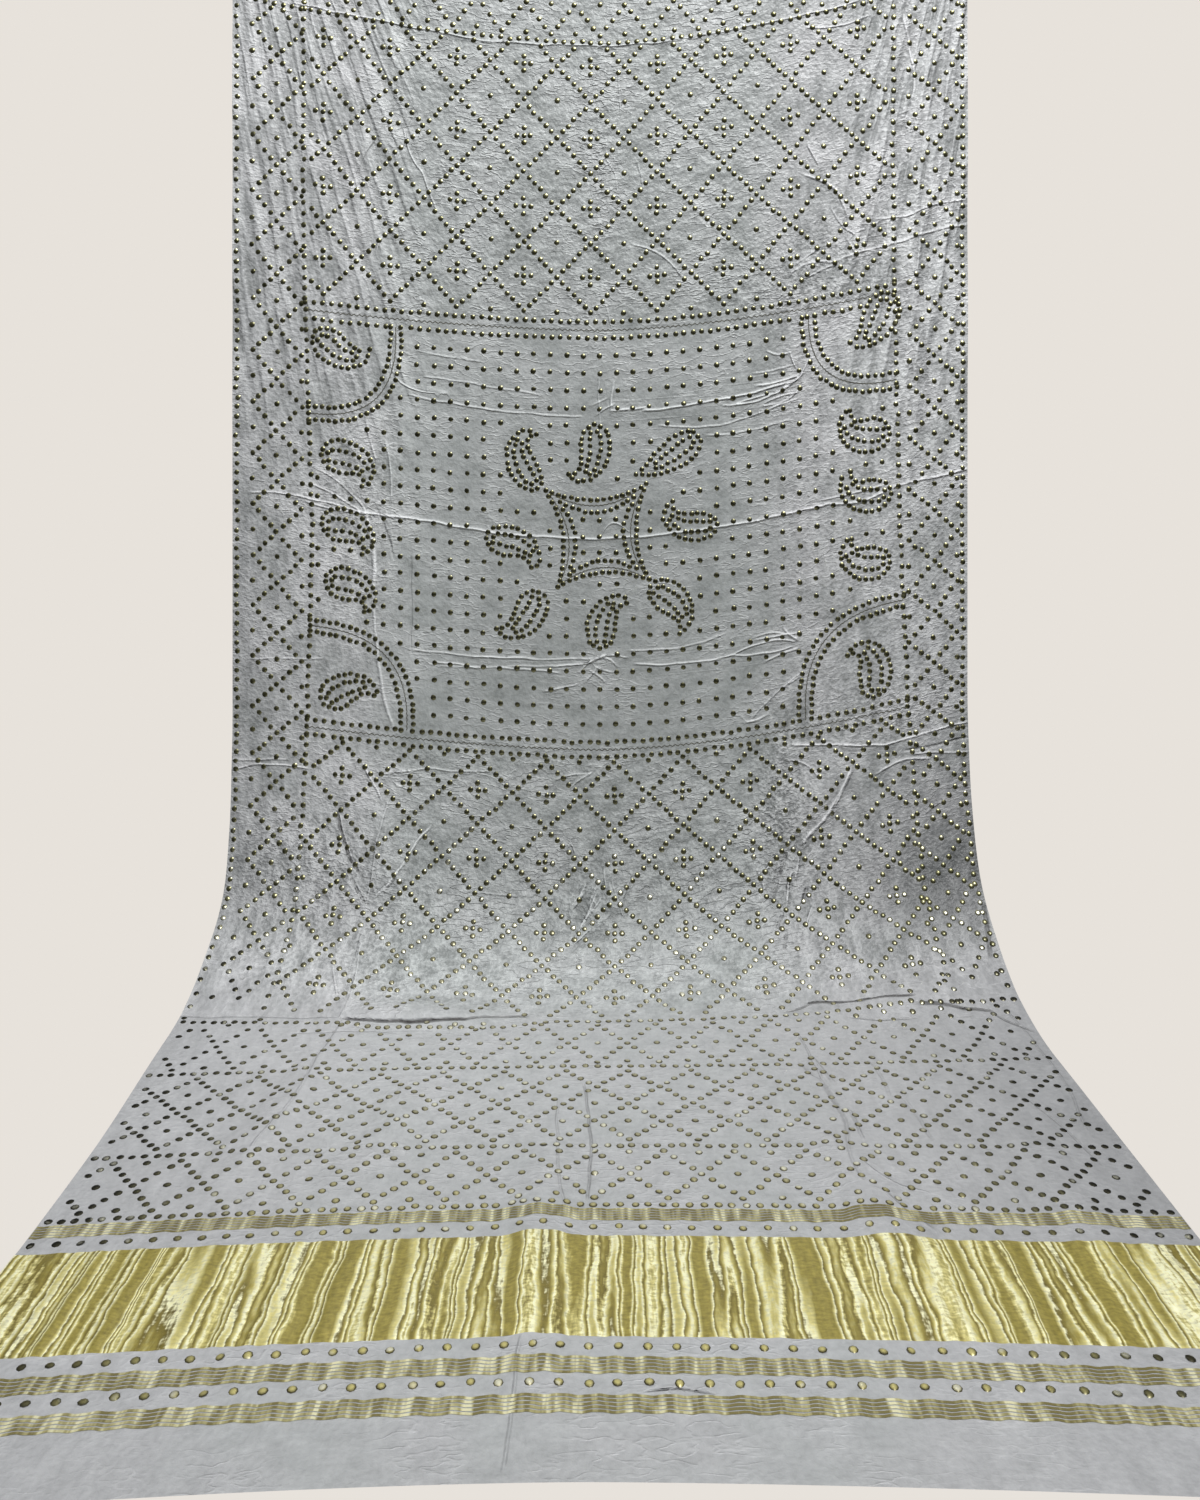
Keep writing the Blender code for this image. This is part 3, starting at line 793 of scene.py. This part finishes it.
def ribbon_mesh(name, paths, wide, proud):
    """Flat ribbons on the cloth. paths is an array of ribbons by points by (across, along). Each ribbon's
    two edges lie half its width to either side of its path, a little proud of the cloth."""
    beside = left_of(unit(np.gradient(paths, axis=1))) * (wide / 2)
    edges = np.stack((paths - beside, paths + beside), axis=2)
    across, along = np.clip(edges[..., 0], -CLOTH_WIDTH / 2, CLOTH_WIDTH / 2), edges[..., 1]
    place = cloth_place(across, along) + hung_normal(across, along) * proud
    number = np.arange(across.size).reshape(across.shape)
    corners = (number[:, :-1, 0], number[:, 1:, 0], number[:, 1:, 1], number[:, :-1, 1])
    corners = np.stack(corners, axis=-1)
    return new_mesh(name, place, corners, np.full(corners.size // 4, 4))


def gold_thread_material():
    """Fine gold thread, from dull to bright by a small noise, partly metallic."""
    thread = new_material("gold_thread")
    place = thread.add("TexCoord")["Object"]
    drawn = thread.add("Mapping", {"Vector": place, "Scale": (1.0, 0.15, 0.15)})["Vector"]
    shades = thread.ramp(thread.noise(drawn, 150.0, dimensions="3D"), THREAD_SHADES)
    return thread.end({"Base Color": shades, "Metallic": 0.35, "Roughness": 0.4})


thread_run = np.linspace(-CLOTH_WIDTH / 2 + THREAD_INSET, CLOTH_WIDTH / 2 - THREAD_INSET, 330)
thread_paths = []
for sign, first in FIRST_LINES:
    for stripe in STRIPES:
        for thread in range(THREADS_IN_STRIPE):
            wave = STRIPE_SWAY * np.sin(thread_run * 260.0 + stripe * 90)
            wave = wave + THREAD_SWAY * np.sin(thread_run * 610.0 + thread)
            thread_along = sign * (first + stripe + THREAD_SPACING * thread) + wave
            thread_paths.append(np.stack((thread_run, thread_along), axis=-1))
thread_mesh = ribbon_mesh("gold_stripe_threads", np.array(thread_paths), THREAD_WIDE, THREAD_PROUD)
gold_threads = add_piece("gold_stripe_threads", thread_mesh, "gold_thread", gold_thread_material())

# ---------------------------------------------------------------------------------------------------------
# The dots. Small thin metal domes, tied into the satin where a tied-cloth pattern has its knots: dotted lines,
# lattices with little crosses, a field of single dots, teardrops, and a four-armed medallion in the middle.

DOT_RADIUS = 0.0037
DOT_RISE = 0.0011  # of the dome's crown above the cloth
DOT_RINGS = ((1.00, 0.05), (0.84, 0.38), (0.48, 0.88))  # a dome's rings, as shares of its radius and rise
DOT_SIDES = 8
DOT_PLAY = 0.0005  # how far a dot strays from its place
DOT_TILT = 0.07  # how far a dot leans, as a share of its upright
DOT_GROWTH = (0.93, 1.05)  # the smallest and the largest dot
FIRST_SEED = 40  # of the first group of dots; each next group's is one more
DOTS_NEAREST = 0.0055  # of two dots nearer than this, the later one is left out
DOTS_REACH = 0.4690  # how far across the end bands' dots may lie
FINE_SPACING = 0.0117
WIDE_SPACING = 0.0205
BORDER_SPACING = 0.0114
UPPER_BORDER = (-0.278, -0.257)
LOWER_BORDER = (0.265, 0.2846)

# The lines between the first dotted line and the end of the cloth, as distances beyond the first.
LINE_COLUMNS = ("beyond", "spacing")
END_LINES = (
    (0.0000, FINE_SPACING), (0.0970, FINE_SPACING), (0.2360, FINE_SPACING), (0.3220, FINE_SPACING),
    (0.3510, WIDE_SPACING), (0.4800, WIDE_SPACING), (0.5120, WIDE_SPACING),
)
END_LINE_REACH = 0.468
# The rows of diamonds between those lines. at: each row's middle. half: half of a diamond's height, and 0 in
# the row of single dots between the touching diamonds. shift: of the row, in pitches.
DIAMOND_COLUMNS = ("at", "half", "shift")
END_DIAMONDS = (
    (0.0485, 0.0400, 0.0), (0.1365, 0.0300, 0.5), (0.1665, 0.0, 0.0), (0.1965, 0.0300, 0.5),
    (0.2790, 0.0340, 0.0),
)
DIAMOND_PITCH = 0.0638
GAP_INSET = 0.002  # of the dots between two diamonds, from the row's upper and lower edge
# The first line of the floor end is drawn along by the tucks at the foot, left of TUCK_SIDE, and the most at
# TUCK_MIDDLE. The shift and the pull say how far.
TUCK_SIDE, TUCK_MIDDLE, TUCK_REACH = -0.09, -0.18, 0.12
TUCK_SHIFT, TUCK_PULL = 0.006, 0.009

# The side panels, a dotted line and a chain of diamonds down each side of the cloth. The inner line has its
# places at three heights.
SIDE_COLUMNS = ("edge_line", "outer", "cross", "inner", "line_top", "line_middle", "line_low")
SIDES = (
    (-0.4695, -0.4490, -0.4180, -0.3855, -0.383, -0.372, -0.383),
    (0.4685, 0.4620, 0.4320, 0.3995, 0.379, 0.387, 0.405),
)
LINE_HEIGHTS = (-0.35, 0.02, 0.42)
EDGE_SPACING, LINE_SPACING = 0.0124, 0.0133
CHAIN_START, CHAIN_PITCH = 0.0575, 0.0665

# The two lattices. pitch: across. rows: along, where the little crosses lie.
LATTICE_COLUMNS = ("first_across", "pitch", "rows", "top", "bottom")
LATTICES = (
    (-0.0125, 0.0862, (-0.6075, -0.5150, -0.4243, -0.3350), TOP_LINE, UPPER_BORDER[0]),
    (0.0185, 0.0878, (0.3360, 0.4250, 0.5140, 0.6030), LOWER_BORDER[1], FLOOR_LINE),
)
CROSS_ARM = 0.0093
CLEAR_ALONG, CLEAR_ACROSS = 0.005, 0.006  # how clear they stay of the borders and of the inner lines

# The middle panel's field of single dots, and how clear it stays of the motifs, of the medallion's middle
# and of the lower border.
FIELD_PITCH_ACROSS, FIELD_PITCH_ALONG = 0.0215, 0.0227
FIELD_ACROSS = (-0.3655, 0.386)
FIELD_CLEAR, MIDDLE_CLEAR, BORDER_CLEAR = 0.0125, 0.030, 0.010
# Each corner's arcs: which side and end of the panel, and the inner and outer rows' reach across and along.
ARC_COLUMNS = ("side", "end", "inner_across", "inner_along", "outer_across", "outer_along")
CORNER_ARCS = (
    (-1, -1, 0.109, 0.113, 0.123, 0.130),
    (1, -1, 0.103, 0.093, 0.1205, 0.112),
    (-1, 1, 0.121, 0.116, 0.137, 0.131),
    (1, 1, 0.124, 0.124, 0.140, 0.140),
)
ARC_POWER = 2.6  # of the rounded-square curve that the arcs follow
ARC_SPACING = 0.0088

# Teardrops: the body's middle, the direction from head to tail, and how far the tail curls, in degrees
# clockwise from the right; the length along the spine and the half width, in millimetres.
TEARDROP_COLUMNS = ("across", "along", "heading", "curl", "long", "half_wide")
TEARDROPS = (
    (-0.006, -0.113, 85, 130, 90, 18.5),  # the ring around the medallion
    (0.100, -0.105, 146, 20, 92, 19.5),
    (0.120, -0.006, 178, 150, 90, 17.5),
    (0.091, 0.083, 32, 110, 86, 19.0),
    (0.002, 0.113, 272, 130, 86, 18.0),
    (-0.091, 0.101, 112, 100, 86, 19.0),
    (-0.116, 0.009, 2, 130, 88, 18.5),
    (-0.100, -0.088, 232, 150, 94, 18.0),
    (-0.330, -0.083, -4, 150, 84, 21.0),  # the left column
    (-0.330, 0.006, -4, 150, 84, 21.0),
    (-0.326, 0.082, -2, 150, 82, 20.5),
    (0.345, -0.090, 184, 140, 84, 21.0),  # the right column
    (0.346, -0.012, 184, 140, 84, 20.5),
    (0.346, 0.076, 184, 140, 82, 20.5),
    (-0.344, -0.222, 42, -120, 84, 20.0),  # one inside each corner arc
    (0.362, -0.240, 108, 95, 84, 23.0),
    (-0.334, 0.222, 318, 120, 86, 19.0),
    (0.356, 0.219, 278, -150, 92, 20.0),
)
TEARDROP_SPACING, TEARDROP_RING_SPACING = 0.0083, 0.0083 * 1.05
TEARDROP_STEPS, TEARDROP_MIDDLE = 80, 28  # steps down the spine, and the one at the body's middle
TEARDROP_RING, RING_STEPS = 0.38, slice(8, 58)  # the inner ring's share of the width, and where it runs

# The medallion, a square whose four sides bow inwards: its tips, and for each side's outer and inner row of
# dots the depth from the chord between the tips and the share of the chord left free at each tip.
MEDALLION_TIPS = ((-0.070, -0.059), (0.060, -0.067), (0.063, 0.057), (-0.055, 0.065))
MEDALLION_BOWS = (0.015, 0.031)
MEDALLION_INSETS = (0.0, 0.14)
MEDALLION_SPACING = 0.0086
MEDALLION_DOTS = 0.0213  # between the nine dots in its middle


def dots_along(path, spacing, closed=False):
    """Places at even steps along a line of points: its length in spacings, rounded to a whole number."""
    path = np.asarray(path, dtype=float)
    if closed:
        path = np.vstack((path, path[:1]))
    run = np.concatenate(([0.0], np.cumsum(np.linalg.norm(np.diff(path, axis=0), axis=1))))
    count = max(int(round(run[-1] / spacing)), 1)
    at = np.linspace(0.0, run[-1], count + (not closed), endpoint=not closed)
    return np.stack((np.interp(at, run, path[:, 0]), np.interp(at, run, path[:, 1])), axis=-1)


def across_line(along, spacing, left, right):
    """A dotted line straight across the flat cloth."""
    return dots_along(((left, along), (right, along)), spacing)


def side_line(side, along):
    """The across place of a side panel's inner line, for side -1 or 1, at a point along the cloth."""
    return np.interp(along, LINE_HEIGHTS, SIDES[side > 0][4:])


def corner_along(end):
    """Where along the cloth the middle panel's upper (-1) or lower (1) border begins."""
    return UPPER_BORDER[1] if end < 0 else LOWER_BORDER[0]


def diamond(across, along, half_across, half_along, steps):
    """The dots around one diamond: each side in even steps, its two ends included."""
    corners = np.array(((0, -1), (1, 0), (0, 1), (-1, 0), (0, -1))) * (half_across, half_along)
    share = np.arange(steps)[:, None] / steps
    sides = [corners[n] + (corners[n + 1] - corners[n]) * share for n in range(4)]
    return np.concatenate(sides) + (across, along)


def end_bands(sign, first):
    """One end's dotted lines and rows of diamonds, each diamond with a dot in its middle, and with dots in
    the gaps between the diamonds of the rows that aren't shifted."""
    reach = END_LINE_REACH
    dots = [across_line(sign * (first + beyond), spacing, -reach, reach) for beyond, spacing in END_LINES]
    if sign > 0:
        line_across = dots[0][:, 0]
        left = 1.0 - smooth_step((line_across - TUCK_SIDE) / 0.05)
        tuck = left * (1.0 - np.abs(line_across - TUCK_MIDDLE) / TUCK_REACH).clip(0.0, 1.0)
        dots[0][:, 1] += TUCK_SHIFT * left + TUCK_PULL * smooth_step(tuck * 2.0)
    for at, half, shift in END_DIAMONDS:
        for across in (np.arange(-8, 9) + shift) * DIAMOND_PITCH:
            dots.append(np.array([(across, sign * (first + at))]))
            if half:
                dots.append(diamond(across, sign * (first + at), DIAMOND_PITCH / 2, half, 4))
            if half and not shift:
                gaps = [sign * (first + at + way * (half - GAP_INSET)) for way in (-1, 1)]
                dots += [np.array([(across + DIAMOND_PITCH / 2, along)]) for along in gaps]
    return np.concatenate(dots)


def side_panel(side):
    """One side panel: the edge line, the inner line, and the chain of diamonds with a dot in each and a dot
    beside each crossing."""
    edge_line, outer, cross, inner = SIDES[side > 0][:4]
    low, high = sorted((outer, inner))
    run = np.linspace(TOP_LINE, FLOOR_LINE, 60)
    dots = [
        dots_along(np.stack((np.full(60, edge_line), run), axis=-1), EDGE_SPACING),
        dots_along(np.stack((side_line(side, run), run), axis=-1), LINE_SPACING),
    ]
    for middle in CHAIN_START + CHAIN_PITCH * np.arange(-10, 9):
        ring = diamond(cross, middle, 1.0, CHAIN_PITCH / 2, 4)
        ring[:, 0] = cross + (ring[:, 0] - cross) * np.where(ring[:, 0] < cross, cross - low, high - cross)
        crossing = middle + CHAIN_PITCH / 2
        dots += [ring, np.array([(cross, middle), (outer, crossing), (inner, crossing)])]
    dots = np.concatenate(dots)
    return dots[(dots[:, 1] >= TOP_LINE) & (dots[:, 1] <= FLOOR_LINE)]


def lattice(first_across, pitch, rows, top, bottom):
    """Diamonds on a slant grid, with a cross of five dots in every other one and a single dot in the rest,
    as far as the borders and the side panels' inner lines."""
    dots = []
    half_along = (rows[-1] - rows[0]) / (len(rows) - 1) / 2
    arms = np.array(((0, 0), (1, 0), (-1, 0), (0, 1), (0, -1))) * CROSS_ARM
    for row in rows:
        for across in first_across + np.arange(-5, 6) * pitch:
            dots += [diamond(across, row, pitch / 2, half_along, 6), arms + (across, row)]
            beside = across + pitch / 2
            dots.append(np.array([(beside, row - half_along), (beside, row + half_along)]))
    dots = np.concatenate(dots)
    across, along = dots.T
    inside = (along > top + CLEAR_ALONG) & (along < bottom - CLEAR_ALONG)
    inside &= (across > side_line(-1, along) + CLEAR_ACROSS) & (across < side_line(1, along) - CLEAR_ACROSS)
    return dots[inside]


def corner_arc(side, end, reach_across, reach_along):
    """A quarter of a rounded square, about a corner of the middle panel: x to a power plus y to the same
    power is 1. side and end say which corner."""
    turn = np.linspace(0.0, np.pi / 2, 60)
    right, down = np.cos(turn) ** (2 / ARC_POWER) * reach_across, np.sin(turn) ** (2 / ARC_POWER) * reach_along
    along = corner_along(end) - end * down
    return np.stack((side_line(side, along) - side * right, along), axis=-1)


def teardrop_dots(across, along, heading, curl, long, half_wide):
    """A curled teardrop's dots, around its outline and around a narrower ring inside it. The spine turns by
    a power of the distance from the head, and the half width is the root of that distance times a power of
    what is left."""
    share = np.linspace(0.0, 1.0, TEARDROP_STEPS)
    angle = np.radians(heading + curl * share**2.7)
    run = np.stack((np.cos(angle), np.sin(angle)), axis=-1)
    spine = np.cumsum(run * (long / 1000.0 / (TEARDROP_STEPS - 1)), axis=0)
    spine += (across, along) - spine[TEARDROP_MIDDLE]
    aside = left_of(run) * (half_wide / 1000.0 * 2.70 * np.sqrt(share) * (1.0 - share) ** 1.1)[:, None]
    outline = np.vstack((spine + aside, (spine - aside)[::-1]))
    spine, aside = spine[RING_STEPS], aside[RING_STEPS] * TEARDROP_RING
    ring = np.vstack((spine + aside, (spine - aside)[::-1]))
    return np.concatenate((
        dots_along(outline, TEARDROP_SPACING, closed=True), dots_along(ring, TEARDROP_RING_SPACING, closed=True)
    ))


def medallion_side(number, bow, inset):
    """One inward-bowed side of the medallion: a parabola between two tips, drawn in from them a little."""
    start, end = np.array(MEDALLION_TIPS[number]), np.array(MEDALLION_TIPS[(number + 1) % 4])
    share = np.linspace(inset, 1.0 - inset, 40)
    inward = unit(np.mean(MEDALLION_TIPS, axis=0) - (start + end) / 2)
    chord = start + (end - start) * share[:, None]
    return chord + inward * (bow * (1.0 - (2.0 * share - 1.0) ** 2))[:, None]


def tree_of(dots):
    """A search tree over places on the flat cloth."""
    tree = KDTree(len(dots))
    for number, dot in enumerate(dots):
        tree.insert((*dot, 0.0), number)
    tree.balance()
    return tree


def thinned(dots):
    """The dots without those closer than DOTS_NEAREST to an earlier one."""
    tree = tree_of(dots)
    dropped = np.zeros(len(dots), dtype=bool)
    for number, dot in enumerate(dots):
        if not dropped[number]:
            for _, other, _ in tree.find_range((*dot, 0.0), DOTS_NEAREST):
                dropped[other] |= other > number
    return dots[~dropped]


def grid_of(across, along):
    """Every pair of an across and an along place, as an array of points."""
    return np.stack(np.meshgrid(across, along), axis=-1).reshape(-1, 2)


def inside_width(dots):
    """The dots that don't lie beyond DOTS_REACH."""
    return dots[np.abs(dots[:, 0]) < DOTS_REACH]


borders = [
    across_line(along, BORDER_SPACING, side_line(-1, along), side_line(1, along))
    for along in UPPER_BORDER + LOWER_BORDER
]
arcs = [
    dots_along(corner_arc(side, end, *reach), ARC_SPACING)
    for side, end, *reaches in CORNER_ARCS for reach in (reaches[:2], reaches[2:])
]
medallion = [
    dots_along(medallion_side(number, bow, inset), MEDALLION_SPACING)
    for number in range(4) for bow, inset in zip(MEDALLION_BOWS, MEDALLION_INSETS)
]
motifs = np.concatenate(arcs + medallion + [teardrop_dots(*row) for row in TEARDROPS])
middle = np.mean(MEDALLION_TIPS, axis=0)
nine = grid_of((-1, 0, 1), (-1, 0, 1)) * MEDALLION_DOTS + middle

field = grid_of(
    np.arange(*FIELD_ACROSS, FIELD_PITCH_ACROSS),
    np.arange(UPPER_BORDER[1] + FIELD_PITCH_ALONG, LOWER_BORDER[0] - BORDER_CLEAR, FIELD_PITCH_ALONG),
)
others = tree_of(np.vstack((motifs, nine)))
clear = np.array([others.find((*dot, 0.0))[2] > FIELD_CLEAR for dot in field])
clear &= np.linalg.norm(field - middle, axis=-1) > MIDDLE_CLEAR
for side, end, _, _, *reach in CORNER_ARCS:
    corner = np.stack((side_line(side, field[:, 1]), np.full(len(field), corner_along(end))), axis=-1)
    clear &= np.sum((np.abs(field - corner) / reach) ** ARC_POWER, axis=-1) >= 1.0

lattices = [lattice(*row) for row in LATTICES]
ends = [inside_width(end_bands(sign, first)) for sign, first in FIRST_LINES]
DOT_GROUPS = {
    "field_dots": np.concatenate((nine, motifs, *borders, field[clear])),
    "upper_lattice_dots": lattices[0],
    "lower_lattice_dots": lattices[1],
    "left_panel_dots": side_panel(-1),
    "right_panel_dots": side_panel(1),
    "floor_end_dots": ends[0],
    "top_end_dots": ends[1],
}


def dot_shape():
    """One dome: rings of points at shares of its radius and rise and a point on top, and its faces."""
    turn = np.arange(DOT_SIDES) / DOT_SIDES * 2 * np.pi
    points = [(r * np.cos(t), r * np.sin(t), h) for r, h in DOT_RINGS for t in turn] + [(0.0, 0.0, 1.0)]
    number = np.arange(len(DOT_RINGS) * DOT_SIDES).reshape(-1, DOT_SIDES)
    after = np.roll(number, -1, axis=1)
    faces = list(np.stack((number[:-1], after[:-1], after[1:], number[1:]), axis=-1).reshape(-1, 4))
    faces += [np.array((start, end, len(points) - 1)) for start, end in zip(number[-1], after[-1])]
    return np.array(points) * (DOT_RADIUS, DOT_RADIUS, DOT_RISE), faces


def dots_mesh(name, places, rng):
    """Many domes in one mesh, each on the cloth with its own small tilt, turned to the cloth's own slope. Its
    points know their rise, from 0 at the rim to 1 on the crown."""
    shape, faces = dot_shape()
    across, along = (places + rng.normal(0.0, DOT_PLAY, places.shape)).T
    step = 0.0015
    here = cloth_place(across, along)
    ahead = cloth_place(across, along + step) - cloth_place(across, along - step)
    right = cloth_place(across + step, along) - cloth_place(across - step, along)
    normal = unit(np.cross(ahead, right))
    normal = unit(normal + rng.normal(0.0, DOT_TILT, normal.shape))
    right = unit(right - normal * np.sum(right * normal, axis=-1, keepdims=True))
    axes = np.stack((right, np.cross(normal, right), normal), axis=1)
    size = rng.uniform(*DOT_GROWTH, (len(here), 1, 1))
    points = here[:, None, :] + np.einsum("pk,nkc->npc", shape, axes) * size
    corners = np.concatenate(faces) + np.arange(len(here))[:, None] * len(shape)
    mesh = new_mesh(name, points, corners, np.tile([len(face) for face in faces], len(here)))
    add_attribute(mesh, "rise", np.tile(shape[:, 2] / DOT_RISE, len(here)), "FLOAT")
    return mesh


DOT_TARNISH = ((0.36, (0.160, 0.156, 0.072)), (0.66, (0.385, 0.367, 0.200)))
# Painted reflections on the floor dots' crowns: brass, pale behind and gold in front.
DOT_PALE_REFLECTION, DOT_GOLD_REFLECTION = (0.53, 0.50, 0.325), (0.84, 0.75, 0.30)  # the floor dots' crowns, behind and in front
# Painted shade: the floor dots' dark rims, and the dusky dots away from the light.
DOT_RIM_SHADE, DOT_SHADE = (0.062, 0.052, 0.016), (0.062, 0.058, 0.035)
DOT_PAINTED_GLINT = (1.0, 0.98, 0.78)
# From where to where a zone of the cloth begins: by height, distance from the middle, or distance out.
# Where the middle dots low on the wall get painted shade.
ZONE_LOW = (-0.88, -1.02)  # the wall's lower half, where the middle's dots are darker
# Where some dots that lie flat get a painted glint.
ZONE_GLINT = (-1.56, -1.68)  # where the cloth has turned, and some dots catch the light
ZONE_FLOOR = (-1.69, -1.75)
ZONE_MIDDLE = (0.42, 0.24)
ZONE_FRONT = (-0.45, -0.60)


def dot_metal():
    """Thin pressed brass with a dark olive tarnish that a small noise wears away. On the floor the middle dots
    show painted dark rims and painted pale or gold reflections on their crowns; the outer ones, and the middle
    ones low on the wall, get painted shade; and some that lie flat get a painted glint."""
    brass = new_material("dot_brass")
    math, mixed, rescaled = brass.math, brass.mixed, brass.rescaled
    place = brass.add("TexCoord")["Object"]
    position = brass.split(place)
    tarnish = brass.ramp(brass.noise(place, 130.0, dimensions="3D"), DOT_TARNISH)
    crown = rescaled(brass.number("rise"), 0.32, 1.0)
    on_floor = rescaled(position["Z"], *ZONE_FLOOR)
    inner = rescaled(math("ABSOLUTE", position["X"]), *ZONE_MIDDLE)
    pale = math("MULTIPLY", on_floor, inner)
    # Painted shade on the middle dots low on the wall, and on the floor's outer dots.
    low_wall_shade = math("MULTIPLY", math("MULTIPLY", inner, rescaled(position["Z"], *ZONE_LOW)), 0.42)
    outer = mixed(math("SUBTRACT", on_floor, pale), mixed(low_wall_shade, tarnish, DOT_SHADE), DOT_SHADE)
    bright = mixed(rescaled(position["Y"], *ZONE_FRONT), DOT_PALE_REFLECTION, DOT_GOLD_REFLECTION)
    # On the floor's middle dots, the rise sets a painted dark rim and a painted reflection on the crown.
    colour = mixed(pale, outer, mixed(crown, DOT_RIM_SHADE, bright))
    # A painted glint on some dots that lie flat, chosen by a noise.
    lying = math("MULTIPLY", rescaled(position["Z"], *ZONE_GLINT), crown)
    glint = math("MULTIPLY", rescaled(brass.noise(place, 58.0, 0.0, "3D"), 0.60, 0.67), lying)
    return brass.end({
        "Base Color": mixed(glint, colour, DOT_PAINTED_GLINT), "Metallic": rescaled(pale, 0.0, 1.0, 1.0, 0.55),
        "Roughness": 0.35, "Coat Weight": 0.28, "Coat Roughness": 0.26, "Coat IOR": 1.8,
    })


dot_brass = dot_metal()
for number, (name, places) in enumerate(DOT_GROUPS.items()):
    dot_mesh = dots_mesh(name, thinned(places), np.random.default_rng(FIRST_SEED + number))
    add_piece(name, dot_mesh, "gold_dots", dot_brass)

# ---------------------------------------------------------------------------------------------------------
# The stitched lines. A dark thread is worked in small zigzags between the two rows of each double border,
# each corner arc and each side of the medallion.

STITCH_WIDE = 0.0011
STITCH_PROUD = 0.0003
BORDER_ZIGZAG, CURVE_ZIGZAG = (0.0070, 0.0011), (0.0055, 0.0004)  # pitch, and swing to each side
MEDALLION_STITCH = (sum(MEDALLION_BOWS) / 2 - 0.001, 0.05)  # its bow and inset
STITCH_SHADES = ((0.3, (0.050, 0.048, 0.038)), (0.7, (0.14, 0.135, 0.10)))


def zigzag(path, pitch, swing):
    """A path of points moved to one side and the other by turns, half a pitch apart."""
    fine = dots_along(path, pitch / 2)
    turn = np.where(np.arange(len(fine)) % 2, 1.0, -1.0) * swing
    return fine + left_of(unit(np.gradient(fine, axis=0))) * turn[:, None]


def stitch_material():
    """Dark olive thread, its shade varied by a fine noise."""
    stitch = new_material("dark_stitching")
    fray = stitch.noise(stitch.add("TexCoord")["Object"], 420.0, dimensions="3D")
    return stitch.end({"Base Color": stitch.ramp(fray, STITCH_SHADES), "Roughness": 0.75})


stitch_paths = []
for pair in (UPPER_BORDER, LOWER_BORDER):
    along = sum(pair) / 2
    line = np.stack((np.linspace(side_line(-1, along), side_line(1, along), 80), np.full(80, along)), axis=-1)
    stitch_paths.append(zigzag(line, *BORDER_ZIGZAG))
for side, end, *reach in CORNER_ARCS:
    between = (np.array(reach[:2]) + reach[2:]) / 2
    stitch_paths.append(zigzag(corner_arc(side, end, *between), *CURVE_ZIGZAG))
stitch_paths += [zigzag(medallion_side(number, *MEDALLION_STITCH), *CURVE_ZIGZAG) for number in range(4)]
stitching = stitch_material()
for number, path in enumerate(stitch_paths):
    name = f"stitched_line_{number}"
    stitch_mesh = ribbon_mesh(name, path[None], STITCH_WIDE, STITCH_PROUD)
    add_piece(name, stitch_mesh, "stitching", stitching)

# ---------------------------------------------------------------------------------------------------------
# The pale room, the lights and the camera.

# The room's light by the height of the direction it comes from, from 0, level, to 1, straight up.
ROOM = ((0.02, (0.050, 0.052, 0.056)), (0.45, (0.110, 0.112, 0.118)), (0.88, (0.26, 0.265, 0.275)))
BEHIND = (0.80, 0.76, 0.71)  # what the camera sees behind the cloth
world = bpy.data.worlds.new("studio")
bpy.context.scene.world = world
studio = Nodes(world)
room = studio.ramp(studio.split(studio.add("TexCoord")["Generated"])["Z"], ROOM)
studio.end({"Color": studio.mixed(studio.add("LightPath")["Is Camera Ray"], room, BEHIND)}, "Background")
bpy.context.scene.view_settings.view_transform = "Standard"

LIGHT_COLUMNS = ("name", "place", "aim", "size", "power", "in_reflections")
LIGHTS = (
    ("key", (0.95, -1.7, 1.6), (0.0, -0.1, -0.8), 0.7, 94.0, True),
    ("side", (-1.3, -1.0, 0.9), (-0.3, 0.0, -0.4), 0.6, 12.0, False),
    ("fill", (-0.6, -3.2, -0.2), (0.0, 0.0, -0.9), 2.0, 24.0, False),
)
for name, place, aim, size, power, in_reflections in LIGHTS:
    data = bpy.data.lights.new(name, "AREA")
    data.energy, data.size = power, size
    light = bpy.data.objects.new(name, data)
    light.location = place
    light.rotation_euler = (Vector(aim) - Vector(place)).to_track_quat("-Z", "Y").to_euler()
    light.visible_glossy = in_reflections
    bpy.context.scene.collection.objects.link(light)

CAMERA_OUT, CAMERA_HIGH = 1.489, 0.610  # from the wall, and above the floor
PHOTO_HIGH, HORIZON_ROW, FOCAL_LENGTH = 1500.0, 480.0, 1151.0  # in the photo's pixels
SENSOR = 36.0
camera_data = bpy.data.cameras.new("camera")
camera_data.sensor_width = SENSOR
camera_data.lens = FOCAL_LENGTH / PHOTO_HIGH * SENSOR
camera_data.shift_y = -(PHOTO_HIGH / 2 - HORIZON_ROW) / PHOTO_HIGH
camera_data.clip_start = 0.05
camera = bpy.data.objects.new("camera", camera_data)
camera.location = (0.0, -CAMERA_OUT, CAMERA_HIGH - TOP_HEIGHT)
camera.rotation_euler = (np.pi / 2, 0.0, 0.0)
bpy.context.scene.collection.objects.link(camera)
bpy.context.scene.camera = camera
